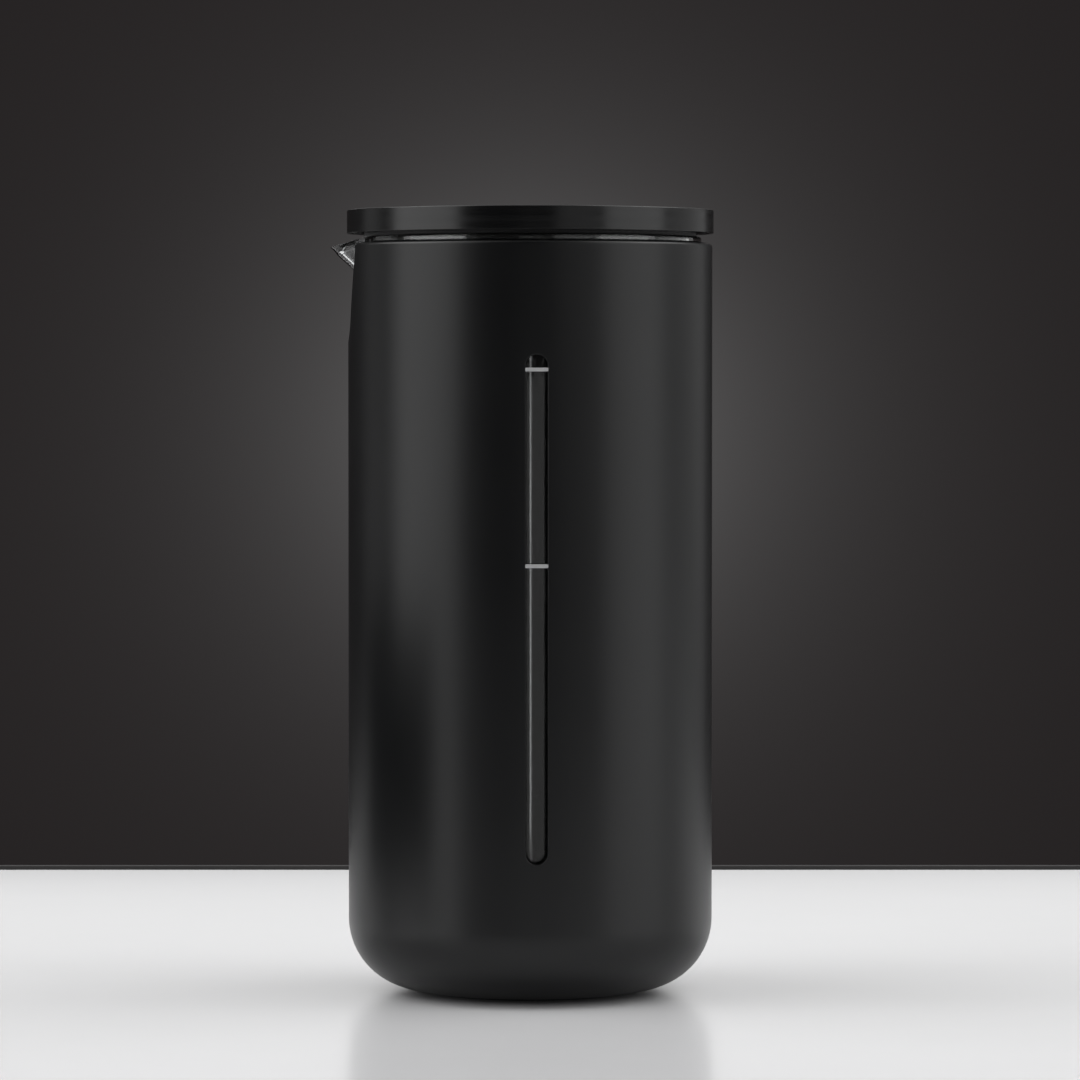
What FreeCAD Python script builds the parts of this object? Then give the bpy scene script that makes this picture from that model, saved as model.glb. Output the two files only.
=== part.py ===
"""French press with a glass beaker in a moulded sleeve, a flat disc plunger and a drop-in lid.

Frame: millimetres, +Z up, origin on the resting plane under the middle of the press.
The pouring spout points along -X and the sight slot faces -Y.
Each sub-part is one STEP file in parts/, named after its node.
"""

import FreeCAD, Part
import math
import os

from FreeCAD import Vector

# ---------------------------------------------------------------- driving dimensions
# sleeve (the outer shell)
SHELL_R = 39.5            # outside radius
SHELL_WALL = 2.7
SHELL_CORNER_R = 15.3     # outside radius of the bottom corner
SHELL_TOP = 162.2         # height of the sleeve's mouth
SHELL_EDGE_R = 0.9        # rounding of the mouth's outer edge
SHELL_LEAD_IN = 0.6       # chamfer of the mouth's inner edge
FOOT_STAND = 0.6          # how far the foot holds the sleeve off the table

# beaker
BEAKER_GAP = 0.6          # radial room between the beaker and the sleeve
GLASS_WALL = 2.2
GLASS_FLOOR = 3.2
GLASS_CORNER_R = 12.0     # inside radius of the beaker's bottom corner
GLASS_STAND_OUT = 1.4     # how far the beaker's rim stands above the sleeve's mouth
RIM_BEAD = 0.9            # how far the rim's bead stands out of the beaker's wall
RIM_BEAD_GAP = 0.2        # room between the bead and the sleeve's mouth
RIM_ROUND = 0.6

# pouring spout
SPOUT_OVERHANG = 3.9      # how far the spout's tip stands out past the sleeve's side
SPOUT_RISE = 13.0         # height from the spout's root to the rim
SPOUT_HALF_WIDTH = 10.6   # where the spout meets the beaker's wall, at the rim
SPOUT_ROOT_HALF_WIDTH = 2.2
SPOUT_TIP_R = 3.9
SPOUT_WALL = 2.0
SPOUT_FLOOR = 1.4         # height of the channel's root above the spout's root
SPOUT_SINK = 0.3          # how far the spout's root starts inside the beaker's surface
SPOUT_BACK = 4.0          # how far the spout's sides run on inside the beaker's bore
SPOUT_SPLAY = 0.45        # widening of the sides per length, from the surface inwards
SPOUT_STEPS = 6           # cross-sections of the spout's loft
SPOUT_CURVE = 1.9         # power of the spout's outward sweep: 1 is a straight ramp

# spout notch in the sleeve
NOTCH_HALF_WIDTH = 10.9   # at the mouth
NOTCH_DEPTH = 21.0
NOTCH_BOTTOM_R = 6.0
NOTCH_FLARE_R = 1.6       # rounding where the notch meets the mouth

# sight slot and its two level marks
SLOT_WIDTH = 5.0
SLOT_BOTTOM = 30.5
SLOT_DROP = 23.9          # from the mouth down to the slot's top
MARK_DROP = 3.4           # from the slot's top down to the upper mark
MARK_STEP_ML = 150.0      # what the beaker holds between the two marks
MARK_HEIGHT = 0.8
MARK_DEPTH = 1.2
MARK_BITE = 0.3           # how far each end of a mark sits in the slot's side
MARK_FLUSH = 0.05         # how far a mark lies below the sleeve's surface

# silicone pieces between the beaker, the sleeve and the table
FOOT_MARGIN = 1.2         # flat left between the foot and the sleeve's rounded corner
FOOT_SEAT = 1.0           # depth of the foot's pocket in the sleeve
FOOT_EDGE = 0.35
CUSHION_MARGIN = 1.5      # flat of the beaker's floor left outside the cushion
CUSHION_THICK = 2.2
CUSHION_RIB = 0.7         # depth of the grooves between the cushion's ribs
CUSHION_RIBS = 4
BAND_GROOVE = 0.8         # depth of the bands' grooves in the sleeve
BAND_CLEAR = 0.3          # room between a band and the beaker
BAND_HEIGHT = 5.0
SILICONE_EDGE = 0.2       # rounding of the silicone rings' edges
LOWER_BAND_RISE = 6.1     # from the top of the sleeve's rounded corner up to the lower band
UPPER_BAND_DROP = 10.7    # from the mouth down to the upper band's underside
UPPER_BAND_GAP = 23.0     # half angle left open for the spout, in degrees

# lid
LID_INSET = 0.2           # how far the lid's edge stands in from the beaker's outside
LID_PLATE = 1.9
LID_SKIRT_DEPTH = 10.9
LID_SKIRT_WALL = 1.6
LID_SKIRT_GAP = 0.6       # radial room between the skirt and the beaker
SEAT_THICK = 0.8          # silicone ring between the lid and the beaker's rim
SEAT_FIT = 0.15
COMB_SLOTS = 9            # pouring slots in the skirt, towards the spout
COMB_SLOT_WIDTH = 1.4
COMB_SLOT_HEIGHT = 7.0
COMB_PITCH = 5.0          # degrees between pouring slots
COMB_RISE = 1.5           # skirt left below the slots
LID_EDGE = 0.3            # bevel round the lid's top edge
DIMPLE_R = 9.6            # well in the lid that takes the disc's boss
DIMPLE_DEPTH = 5.3
DIMPLE_WALL = 1.8
LID_BOSS_R = 8.0
LID_BOSS_INSET = 0.5      # how far the boss ends above the skirt's edge
BUSH_R = 5.0
BUSH_FLANGE_R = 6.8
BUSH_FLANGE = 0.8
BUSH_TAIL = 2.0           # how far the bush stands out under the lid's boss
BUSH_EDGE = 0.3
RETAINER_R = 7.4
RETAINER_THICK = 1.2
RETAINER_BITE = 0.4       # depth of the retainer's groove in the bush
RETAINER_SPLIT = 1.6      # gap between the retainer's ends
RUN_CLEAR = 0.05          # radial running clearance of turning and sliding fits

# plunger
ROD_R = 3.0
STUD_R = 2.5              # threaded ends of the rod
STUD_EDGE = 0.4
STUD_LENGTH = 3.8         # of the lower stud, below the filter stack
TRAVEL_SPARE = 2.1        # room left between the filter's hub and the bush at the top of the stroke
DISC_OVERHANG = 0.25      # how far the disc stands out of the sleeve's side
DISC_THICK = 5.0
DISC_SKIN = 0.9           # thickness of the disc's metal cover
DISC_EDGE = 0.35          # bevel round the cover's top edge
DISC_GLUE = 0.1           # glue line between the cover and the core
DISC_LID_GAP = 0.2        # room between the disc and the lid
DISC_RECESS_CLEAR = 0.4   # radial room round the lid's plate
BOSS_CLEAR = 1.6          # radial room between the disc's boss and the lid's well
BOSS_LID_GAP = 0.6        # room between the disc's boss and the bush's flange
INSERT_R = 4.5
INSERT_GRIPS = 2          # grooves that key the insert in the core
INSERT_GROOVE = 0.5       # depth of those grooves
INSERT_ROOF = 0.4         # core left above the insert

# filter stack, from the perforated plate up
STACK_CLEAR = 11.7        # from the beaker's floor up to the underside of the perforated plate
PLATE_THICK = 0.8
PLATE_HOLE_R = 1.5
PLATE_HOLE_RINGS = 4
PLATE_HOLE_PITCH = 4.5    # from one ring of holes to the next, and about that along a ring
PLATE_BORDER = 5.2        # from the plate's edge in to the outer ring of holes
MESH_THICK = 0.4
MESH_GAP = 0.3            # room between the mesh and the beaker
MESH_RIM_WALL = 0.3
MESH_RIM_HEIGHT = 3.5
SPRING_PLATE_THICK = 0.8
SPRING_PLATE_INSET = 0.35 # how far the plate's edge stands in from the coil's middle
SPRING_PLATE_WINDOWS = 6
WINDOW_R_IN = 12.0
WINDOW_BORDER = 6.4       # from the plate's edge in to the windows
WINDOW_ANGLE = 42.0
COIL_R = 1.5              # outside radius of the coil spring's turns
COIL_WIRE = 0.5
COIL_GAP = 0.15           # room between the coil and the mesh
COIL_STEP_ROOM = 0.75     # radial room between the coil and the mesh's step
PLATE_MESH_ROOM = 0.3     # radial room between the perforated plate and the mesh's step
COIL_MOUTH = 1.3          # gap in the coil's envelope where the plate's edge enters
HUB_R = 9.0
HUB_HEIGHT = 2.5
HUB_RIM = 0.8             # height of the hub's upright edge
HUB_NECK = 1.2            # flat left round the rod on top of the hub
HUB_CROWN = 0.5           # how far the hub's dome stands out of a plain cone
NUT_ACROSS_FLATS = 9.0
NUT_HEX_HEIGHT = 2.9
NUT_DOME_HEIGHT = 2.3
NUT_DOME_R = 4.2
FIT = 0.05                # radial room of fixed fits

# ---------------------------------------------------------------- sizes worked out from them
SHELL_R_IN = SHELL_R - SHELL_WALL
SHELL_FLOOR_TOP = FOOT_STAND + SHELL_WALL
SHELL_FLAT_R = SHELL_R - SHELL_CORNER_R
FOOT_R = SHELL_FLAT_R - FOOT_MARGIN
SLOT_TOP = SHELL_TOP - SLOT_DROP
LOWER_BAND_Z = FOOT_STAND + SHELL_CORNER_R + LOWER_BAND_RISE
UPPER_BAND_Z = SHELL_TOP - UPPER_BAND_DROP
GLASS_R_OUT = SHELL_R_IN - BEAKER_GAP
GLASS_R_IN = GLASS_R_OUT - GLASS_WALL
GLASS_BOTTOM = SHELL_FLOOR_TOP + CUSHION_THICK
GLASS_FLOOR_TOP = GLASS_BOTTOM + GLASS_FLOOR
CUSHION_R = GLASS_R_OUT - GLASS_CORNER_R - GLASS_WALL - CUSHION_MARGIN
MARK_HIGH_Z = SLOT_TOP - MARK_DROP
MARK_LOW_Z = MARK_HIGH_Z - MARK_STEP_ML * 1000 / (math.pi * GLASS_R_IN ** 2)
RIM_TOP = SHELL_TOP + GLASS_STAND_OUT
SPOUT_REACH = SHELL_R + SPOUT_OVERHANG
LID_BOTTOM = RIM_TOP + SEAT_THICK
LID_TOP = LID_BOTTOM + LID_PLATE
LID_R = GLASS_R_OUT - LID_INSET
SKIRT_R = GLASS_R_IN - LID_SKIRT_GAP
SKIRT_BOTTOM = LID_BOTTOM - LID_SKIRT_DEPTH
DIMPLE_FLOOR = LID_TOP - DIMPLE_DEPTH
BOSS_BOTTOM = SKIRT_BOTTOM + LID_BOSS_INSET
BUSH_BOTTOM = BOSS_BOTTOM - BUSH_TAIL
DISC_R = SHELL_R + DISC_OVERHANG
DISC_BOTTOM = LID_BOTTOM
DISC_TOP = DISC_BOTTOM + DISC_THICK
RECESS_TOP = LID_TOP + DISC_LID_GAP
RECESS_R = LID_R + DISC_RECESS_CLEAR
DISC_BOSS_R = DIMPLE_R - BOSS_CLEAR
DISC_BOSS_BOTTOM = DIMPLE_FLOOR + BUSH_FLANGE + BOSS_LID_GAP
INSERT_TOP = DISC_TOP - DISC_SKIN - DISC_GLUE - INSERT_ROOF
STACK_Z = GLASS_FLOOR_TOP + STACK_CLEAR
MESH_Z = STACK_Z + PLATE_THICK
SPRING_PLATE_Z = MESH_Z + MESH_THICK
HUB_Z = SPRING_PLATE_Z + SPRING_PLATE_THICK
ROD_FOOT = HUB_Z + HUB_HEIGHT
PLUNGER_TRAVEL = BUSH_BOTTOM - ROD_FOOT - TRAVEL_SPARE
MESH_R = GLASS_R_IN - MESH_GAP
COIL_RING_R = MESH_R - MESH_RIM_WALL - COIL_GAP - COIL_R
COIL_Z = SPRING_PLATE_Z + SPRING_PLATE_THICK / 2
SPRING_PLATE_R = COIL_RING_R - SPRING_PLATE_INSET
MESH_STEP_R = COIL_RING_R - COIL_R - COIL_STEP_ROOM
PLATE_R = MESH_STEP_R - PLATE_MESH_ROOM
WINDOW_R_OUT = SPRING_PLATE_R - WINDOW_BORDER
MESH_RIM_BOTTOM = COIL_Z - COIL_R - COIL_GAP - MESH_THICK

AXIS = Vector(0, 0, 1)
ORIGIN = Vector(0, 0, 0)


# ---------------------------------------------------------------- helpers
def wire_of(steps):
    """Closed wire through the steps: (a, b) is a corner, (a, b, mid_a, mid_b) an arc through mid."""
    edges = []
    here = steps[0][:2]
    for step in list(steps[1:]) + [steps[0][:2]]:
        there = step[:2]
        start, end = Vector(here[0], 0, here[1]), Vector(there[0], 0, there[1])
        if len(step) == 4:
            edges.append(Part.Arc(start, Vector(step[2], 0, step[3]), end).toShape())
        elif start.distanceToPoint(end) > 1e-6:
            edges.append(Part.LineSegment(start, end).toShape())
        here = there
    return Part.Wire(edges)


def turned(steps):
    """Solid of revolution about Z of an outline in (radius, height)."""
    return Part.Face(wire_of(steps)).revolve(ORIGIN, AXIS, 360)


def ring(r_in, r_out, z_low, z_high):
    """Plain ring, or a disc where r_in is 0."""
    body = Part.makeCylinder(r_out, z_high - z_low, Vector(0, 0, z_low))
    if r_in > 0:
        body = body.cut(Part.makeCylinder(r_in, z_high - z_low, Vector(0, 0, z_low)))
    return body


def round_ring(r_in, r_out, z_low, z_high, edge):
    """Ring whose four edges are rounded by edge."""
    k = edge * (1 - math.sqrt(0.5))
    return turned([
        (r_in + edge, z_low),
        (r_out - edge, z_low),
        (r_out, z_low + edge, r_out - k, z_low + k),
        (r_out, z_high - edge),
        (r_out - edge, z_high, r_out - k, z_high - k),
        (r_in + edge, z_high),
        (r_in, z_high - edge, r_in + k, z_high - k),
        (r_in, z_low + edge),
        (r_in + edge, z_low, r_in + k, z_low + k),
    ])


def arc_mid(centre_r, centre_z, radius, degrees):
    """Point of a circle in the (radius, height) plane."""
    a = math.radians(degrees)
    return centre_r + radius * math.cos(a), centre_z + radius * math.sin(a)


def around(shape, count, start=0.0, step=None):
    """Copies of a shape turned about the axis."""
    step = 360.0 / count if step is None else step
    copies = []
    for i in range(count):
        copy = shape.copy()
        copy.rotate(ORIGIN, AXIS, start + i * step)
        copies.append(copy)
    return copies


# ---------------------------------------------------------------- sleeve
def slot_cutter():
    """Upright prism with round ends, through the front of the sleeve."""
    half = SLOT_WIDTH / 2
    low, high = SLOT_BOTTOM + half, SLOT_TOP - half
    outline = wire_of([
        (half, low),
        (half, high),
        (-half, high, 0, SLOT_TOP),
        (-half, low),
        (half, low, 0, SLOT_BOTTOM),
    ])
    prism = Part.Face(outline).extrude(Vector(0, -SHELL_R, 0))
    prism.translate(Vector(0, -SHELL_R_IN / 2, 0))
    return prism


def notch_cutter():
    """Prism of the rounded V that lets the spout through the sleeve's mouth."""
    centre = SHELL_TOP - NOTCH_DEPTH + NOTCH_BOTTOM_R
    rise = SHELL_TOP - centre
    # the side leaves the bottom circle at its tangent through the notch's corner at the mouth
    reach = math.hypot(NOTCH_HALF_WIDTH, rise)
    tangent = math.atan2(rise, NOTCH_HALF_WIDTH) - math.acos(NOTCH_BOTTOM_R / reach)
    side = (NOTCH_BOTTOM_R * math.cos(tangent), centre + NOTCH_BOTTOM_R * math.sin(tangent))
    lean = math.atan2(SHELL_TOP - side[1], NOTCH_HALF_WIDTH - side[0])
    # the flare is an arc tangent to the side and to the mouth
    trim = NOTCH_FLARE_R * math.tan(lean / 2)
    leave = (NOTCH_HALF_WIDTH - trim * math.cos(lean), SHELL_TOP - trim * math.sin(lean))
    meet = (NOTCH_HALF_WIDTH + trim, SHELL_TOP)
    turn = math.pi / 2 + lean / 2
    flare_centre = (meet[0], SHELL_TOP - NOTCH_FLARE_R)
    flare_mid = (
        flare_centre[0] + NOTCH_FLARE_R * math.cos(turn),
        flare_centre[1] + NOTCH_FLARE_R * math.sin(turn),
    )
    top = SHELL_TOP + NOTCH_BOTTOM_R
    outline = wire_of([
        side,
        leave,
        (*meet, *flare_mid),
        (meet[0], top),
        (-meet[0], top),
        (-meet[0], SHELL_TOP),
        (-leave[0], leave[1], -flare_mid[0], flare_mid[1]),
        (-side[0], side[1]),
        (*side, 0, SHELL_TOP - NOTCH_DEPTH),
    ])
    prism = Part.Face(outline).extrude(Vector(0, -(SHELL_R + SHELL_WALL), 0))
    prism.translate(Vector(0, -NOTCH_BOTTOM_R, 0))
    prism.rotate(ORIGIN, AXIS, -90)
    return prism


def mark_body(z, clearance=0.0):
    """Level mark: a short bar across the slot that follows the sleeve's surface."""
    half_width = SLOT_WIDTH / 2 + MARK_BITE + clearance
    height = MARK_HEIGHT + 2 * clearance
    outer = SHELL_R - MARK_FLUSH + (SHELL_WALL if clearance else 0)
    band = ring(
        SHELL_R - MARK_FLUSH - MARK_DEPTH - clearance, outer, z - height / 2, z + height / 2
    )
    corner = Vector(-half_width, -SHELL_R * 2, z - height / 2)
    return band.common(Part.makeBox(2 * half_width, SHELL_R * 2, height, corner))


def band_groove(z):
    return ring(SHELL_R_IN - BAND_GROOVE, SHELL_R_IN + BAND_GROOVE, z - FIT, z + BAND_HEIGHT + FIT)


def outer_shell():
    """Moulded sleeve with its sight slot, spout notch and seats."""
    corner_in = SHELL_CORNER_R - SHELL_WALL
    corner_z = FOOT_STAND + SHELL_CORNER_R
    edge_r, edge_z = SHELL_R - SHELL_EDGE_R, SHELL_TOP - SHELL_EDGE_R
    body = turned([
        (0, FOOT_STAND),
        (SHELL_FLAT_R, FOOT_STAND),
        (SHELL_R, corner_z, *arc_mid(SHELL_FLAT_R, corner_z, SHELL_CORNER_R, -45)),
        (SHELL_R, edge_z),
        (edge_r, SHELL_TOP, *arc_mid(edge_r, edge_z, SHELL_EDGE_R, 45)),
        (SHELL_R_IN + SHELL_LEAD_IN, SHELL_TOP),
        (SHELL_R_IN, SHELL_TOP - SHELL_LEAD_IN),
        (SHELL_R_IN, corner_z),
        (SHELL_FLAT_R, SHELL_FLOOR_TOP, *arc_mid(SHELL_FLAT_R, corner_z, corner_in, -45)),
        (0, SHELL_FLOOR_TOP),
    ])
    body = body.cut(ring(0, FOOT_R + FIT, 0, FOOT_STAND + FOOT_SEAT))
    body = body.cut(band_groove(LOWER_BAND_Z)).cut(band_groove(UPPER_BAND_Z))
    body = body.cut(slot_cutter()).cut(notch_cutter())
    for z in (MARK_LOW_Z, MARK_HIGH_Z):
        body = body.cut(mark_body(z, FIT))
    return body


def foot_pad():
    """Silicone disc let into the underside; the press stands on it."""
    low_r, mid = FOOT_R - FOOT_EDGE, FOOT_EDGE * (1 - math.sqrt(0.5))
    return turned([
        (0, 0),
        (low_r, 0),
        (FOOT_R, FOOT_EDGE, FOOT_R - mid, mid),
        (FOOT_R, FOOT_STAND + FOOT_SEAT),
        (0, FOOT_STAND + FOOT_SEAT),
    ])


def base_cushion():
    """Silicone disc under the beaker, with round ribs on its top."""
    top, low = GLASS_BOTTOM, GLASS_BOTTOM - CUSHION_RIB
    body = ring(0, CUSHION_R, SHELL_FLOOR_TOP, top)
    pitch = CUSHION_R / (CUSHION_RIBS + 0.5)
    for i in range(CUSHION_RIBS):
        middle = (i + 0.75) * pitch
        body = body.cut(ring(middle - pitch / 4, middle + pitch / 4, low, top))
    return body


def band(z, open_angle=0.0):
    """Silicone band in a groove of the sleeve, all round or open towards the spout."""
    body = round_ring(
        GLASS_R_OUT + BAND_CLEAR, SHELL_R_IN + BAND_GROOVE - FIT, z, z + BAND_HEIGHT, SILICONE_EDGE
    )
    if open_angle:
        reach = SHELL_R * 1.2
        width = reach * math.tan(math.radians(open_angle))
        corners = [(0, 0), (-reach, width), (-reach, -width), (0, 0)]
        wedge = Part.makePolygon([Vector(x, y, z) for x, y in corners])
        body = body.cut(Part.Face(wedge).extrude(Vector(0, 0, BAND_HEIGHT)))
    return body


# ---------------------------------------------------------------- beaker
def spout_section(z, reach, half_width, tip_r, back):
    """Outline of the spout at one height: two sides tangent to a round tip, closed by a chord."""
    tip_x = -(reach - tip_r)
    along, across = back - tip_x, half_width
    distance = math.hypot(along, across)
    # the tangent from the side's root to the tip circle
    bearing = math.atan2(across, along)
    touch = bearing + math.acos(tip_r / distance)
    tx, ty = tip_x + tip_r * math.cos(touch), tip_r * math.sin(touch)
    root, tangent = Vector(back, half_width, z), Vector(tx, ty, z)
    mirror_root, mirror_tangent = Vector(back, -half_width, z), Vector(tx, -ty, z)
    return Part.Wire([
        Part.LineSegment(root, tangent).toShape(),
        Part.Arc(tangent, Vector(-reach, 0, z), mirror_tangent).toShape(),
        Part.LineSegment(mirror_tangent, mirror_root).toShape(),
        Part.LineSegment(mirror_root, root).toShape(),
    ])


def spout_solid(inset, above):
    """Spout swept out from the wall; inset moves its faces inwards, above carries it past the rim."""
    sections = []
    back = -(GLASS_R_IN - SPOUT_BACK)
    root_reach = GLASS_R_OUT - SPOUT_SINK
    channel_rise = SPOUT_FLOOR * inset / SPOUT_WALL
    for i in range(SPOUT_STEPS + 1):
        share = i / SPOUT_STEPS
        z = RIM_TOP - (SPOUT_RISE - channel_rise) * (1 - share)
        reach = root_reach + (SPOUT_REACH - root_reach) * share ** SPOUT_CURVE - inset
        half = SPOUT_ROOT_HALF_WIDTH + (SPOUT_HALF_WIDTH - SPOUT_ROOT_HALF_WIDTH) * math.sqrt(share)
        half += (GLASS_R_OUT + back) * SPOUT_SPLAY - inset
        sections.append(spout_section(z, reach, half, SPOUT_TIP_R - inset, back))
    if above:
        last = sections[-1].copy()
        last.translate(Vector(0, 0, above))
        sections.append(last)
    return Part.makeLoft(sections, True, True)


def glass_beaker():
    """Round beaker with a heavy floor, a beaded rim and a pulled spout."""
    corner_out = GLASS_CORNER_R + GLASS_WALL
    out_r, out_z = GLASS_R_OUT - corner_out, GLASS_BOTTOM + corner_out
    in_r, in_z = GLASS_R_IN - GLASS_CORNER_R, GLASS_FLOOR_TOP + GLASS_CORNER_R
    bead_r = GLASS_R_OUT + RIM_BEAD
    bead_low = SHELL_TOP + RIM_BEAD_GAP
    outside = turned([
        (0, GLASS_BOTTOM),
        (out_r, GLASS_BOTTOM),
        (GLASS_R_OUT, out_z, *arc_mid(out_r, out_z, corner_out, -45)),
        (GLASS_R_OUT, bead_low - RIM_BEAD),
        (bead_r, bead_low),
        (bead_r, RIM_TOP - RIM_ROUND),
        (bead_r - RIM_ROUND, RIM_TOP, *arc_mid(bead_r - RIM_ROUND, RIM_TOP - RIM_ROUND, RIM_ROUND, 45)),
        (0, RIM_TOP),
    ])
    outside = outside.fuse(spout_solid(0, 0))
    inside = turned([
        (0, GLASS_FLOOR_TOP),
        (in_r, GLASS_FLOOR_TOP),
        (GLASS_R_IN, in_z, *arc_mid(in_r, in_z, GLASS_CORNER_R, -45)),
        (GLASS_R_IN, RIM_TOP),
        (0, RIM_TOP),
    ])
    return outside.cut(inside).cut(spout_solid(SPOUT_WALL, SPOUT_WALL)).removeSplitter()


# ---------------------------------------------------------------- lid
def lid_seat_ring():
    return round_ring(SKIRT_R + SEAT_FIT, LID_R, RIM_TOP, LID_BOTTOM, SILICONE_EDGE)


def inner_lid():
    """Flat lid with a skirt, a comb of pouring slots and a well for the disc's boss."""
    well_r = DIMPLE_R + DIMPLE_WALL
    well_low = DIMPLE_FLOOR - DIMPLE_WALL
    bore = BUSH_R + RUN_CLEAR
    body = turned([
        (DIMPLE_R, LID_TOP),
        (LID_R - LID_EDGE, LID_TOP),
        (LID_R, LID_TOP - LID_EDGE),
        (LID_R, LID_BOTTOM),
        (SKIRT_R, LID_BOTTOM),
        (SKIRT_R, SKIRT_BOTTOM),
        (SKIRT_R - LID_SKIRT_WALL, SKIRT_BOTTOM),
        (SKIRT_R - LID_SKIRT_WALL, LID_BOTTOM),
        (well_r, LID_BOTTOM),
        (well_r, well_low),
        (LID_BOSS_R, well_low),
        (LID_BOSS_R, BOSS_BOTTOM),
        (bore, BOSS_BOTTOM),
        (bore, DIMPLE_FLOOR),
        (DIMPLE_R, DIMPLE_FLOOR),
    ])
    tooth = Part.makeBox(
        LID_SKIRT_WALL * 3,
        COMB_SLOT_WIDTH,
        COMB_SLOT_HEIGHT,
        Vector(-SKIRT_R - LID_SKIRT_WALL, -COMB_SLOT_WIDTH / 2, SKIRT_BOTTOM + COMB_RISE),
    )
    start = -COMB_PITCH * (COMB_SLOTS - 1) / 2
    for cut in around(tooth, COMB_SLOTS, start, COMB_PITCH):
        body = body.cut(cut)
    return body


def rod_bush():
    """Slippery bush that guides the rod, held in the lid by its flange and a retainer."""
    bore = ROD_R + RUN_CLEAR
    groove_low = BOSS_BOTTOM - RETAINER_THICK - 2 * FIT
    return turned([
        (bore, BUSH_BOTTOM),
        (BUSH_R - BUSH_EDGE, BUSH_BOTTOM),
        (BUSH_R, BUSH_BOTTOM + BUSH_EDGE),
        (BUSH_R, groove_low),
        (BUSH_R - RETAINER_BITE, groove_low),
        (BUSH_R - RETAINER_BITE, BOSS_BOTTOM),
        (BUSH_R, BOSS_BOTTOM),
        (BUSH_R, DIMPLE_FLOOR),
        (BUSH_FLANGE_R, DIMPLE_FLOOR),
        (BUSH_FLANGE_R, DIMPLE_FLOOR + BUSH_FLANGE),
        (bore + BUSH_EDGE, DIMPLE_FLOOR + BUSH_FLANGE),
        (bore, DIMPLE_FLOOR + BUSH_FLANGE - BUSH_EDGE),
    ])


def bush_retainer():
    """Push-on ring in the bush's groove, split like a circlip."""
    body = ring(
        BUSH_R - RETAINER_BITE + FIT,
        RETAINER_R,
        BOSS_BOTTOM - RETAINER_THICK - FIT,
        BOSS_BOTTOM - FIT,
    )
    corner = Vector(0, -RETAINER_SPLIT / 2, BOSS_BOTTOM - RETAINER_THICK - FIT)
    return body.cut(Part.makeBox(RETAINER_R, RETAINER_SPLIT, RETAINER_THICK, corner))


# ---------------------------------------------------------------- plunger
def plunger_rod():
    """Round rod with a threaded stud at each end."""
    foot = STACK_Z - STUD_LENGTH
    return turned([
        (0, foot),
        (STUD_R - STUD_EDGE, foot),
        (STUD_R, foot + STUD_EDGE),
        (STUD_R, ROD_FOOT),
        (ROD_R, ROD_FOOT),
        (ROD_R, DISC_BOSS_BOTTOM),
        (STUD_R, DISC_BOSS_BOTTOM),
        (STUD_R, INSERT_TOP - STUD_EDGE),
        (STUD_R - STUD_EDGE, INSERT_TOP),
        (0, INSERT_TOP),
    ])


def disc_cover():
    """Turned metal cap over the top and side of the disc."""
    under = DISC_TOP - DISC_SKIN
    inside = DISC_R - DISC_SKIN
    return turned([
        (0, under),
        (inside, under),
        (inside, DISC_BOTTOM),
        (DISC_R - DISC_EDGE / 2, DISC_BOTTOM),
        (DISC_R, DISC_BOTTOM + DISC_EDGE / 2),
        (DISC_R, DISC_TOP - DISC_EDGE),
        (DISC_R - DISC_EDGE, DISC_TOP),
        (0, DISC_TOP),
    ])


def insert_side(room=0.0):
    """Outline of the insert's grooved side, from the bottom up, with room added all round it."""
    r, groove_r = INSERT_R + room, INSERT_R - INSERT_GROOVE + room
    width = (INSERT_TOP - DISC_BOSS_BOTTOM) / (2 * INSERT_GRIPS + 1)
    steps = [(r, DISC_BOSS_BOTTOM)]
    for i in range(INSERT_GRIPS):
        low = DISC_BOSS_BOTTOM + (2 * i + 1) * width + room
        high = low + width - 2 * room
        steps += [(r, low), (groove_r, low), (groove_r, high), (r, high)]
    return steps + [(r, INSERT_TOP + room)]


def disc_core():
    """Moulded plate inside the cover, with the boss that holds the threaded insert."""
    edge = DISC_R - DISC_SKIN - DISC_GLUE
    top = DISC_TOP - DISC_SKIN - DISC_GLUE
    body = turned([
        (0, DISC_BOSS_BOTTOM),
        (DISC_BOSS_R, DISC_BOSS_BOTTOM),
        (DISC_BOSS_R, RECESS_TOP),
        (RECESS_R, RECESS_TOP),
        (RECESS_R, DISC_BOTTOM + DISC_GLUE),
        (edge, DISC_BOTTOM + DISC_GLUE),
        (edge, top),
        (0, top),
    ])
    pocket = turned([(0, DISC_BOSS_BOTTOM), *insert_side(FIT), (0, INSERT_TOP + FIT)])
    return body.cut(pocket)


def rod_insert():
    """Brass insert moulded into the core; the rod's upper stud screws into it."""
    bore = STUD_R + FIT
    return turned([(bore, DISC_BOSS_BOTTOM), *insert_side(), (bore, INSERT_TOP)])


def filter_hub():
    """Domed collar that clamps the filter stack against the nut."""
    top = HUB_Z + HUB_HEIGHT
    bore, neck = STUD_R + FIT, ROD_R + HUB_NECK
    return turned([
        (bore, HUB_Z),
        (HUB_R, HUB_Z),
        (HUB_R, HUB_Z + HUB_RIM),
        (neck, top, (HUB_R + neck) / 2 + HUB_CROWN, HUB_Z + (HUB_RIM + HUB_HEIGHT) / 2 + HUB_CROWN / 2),
        (bore, top),
    ])


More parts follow.
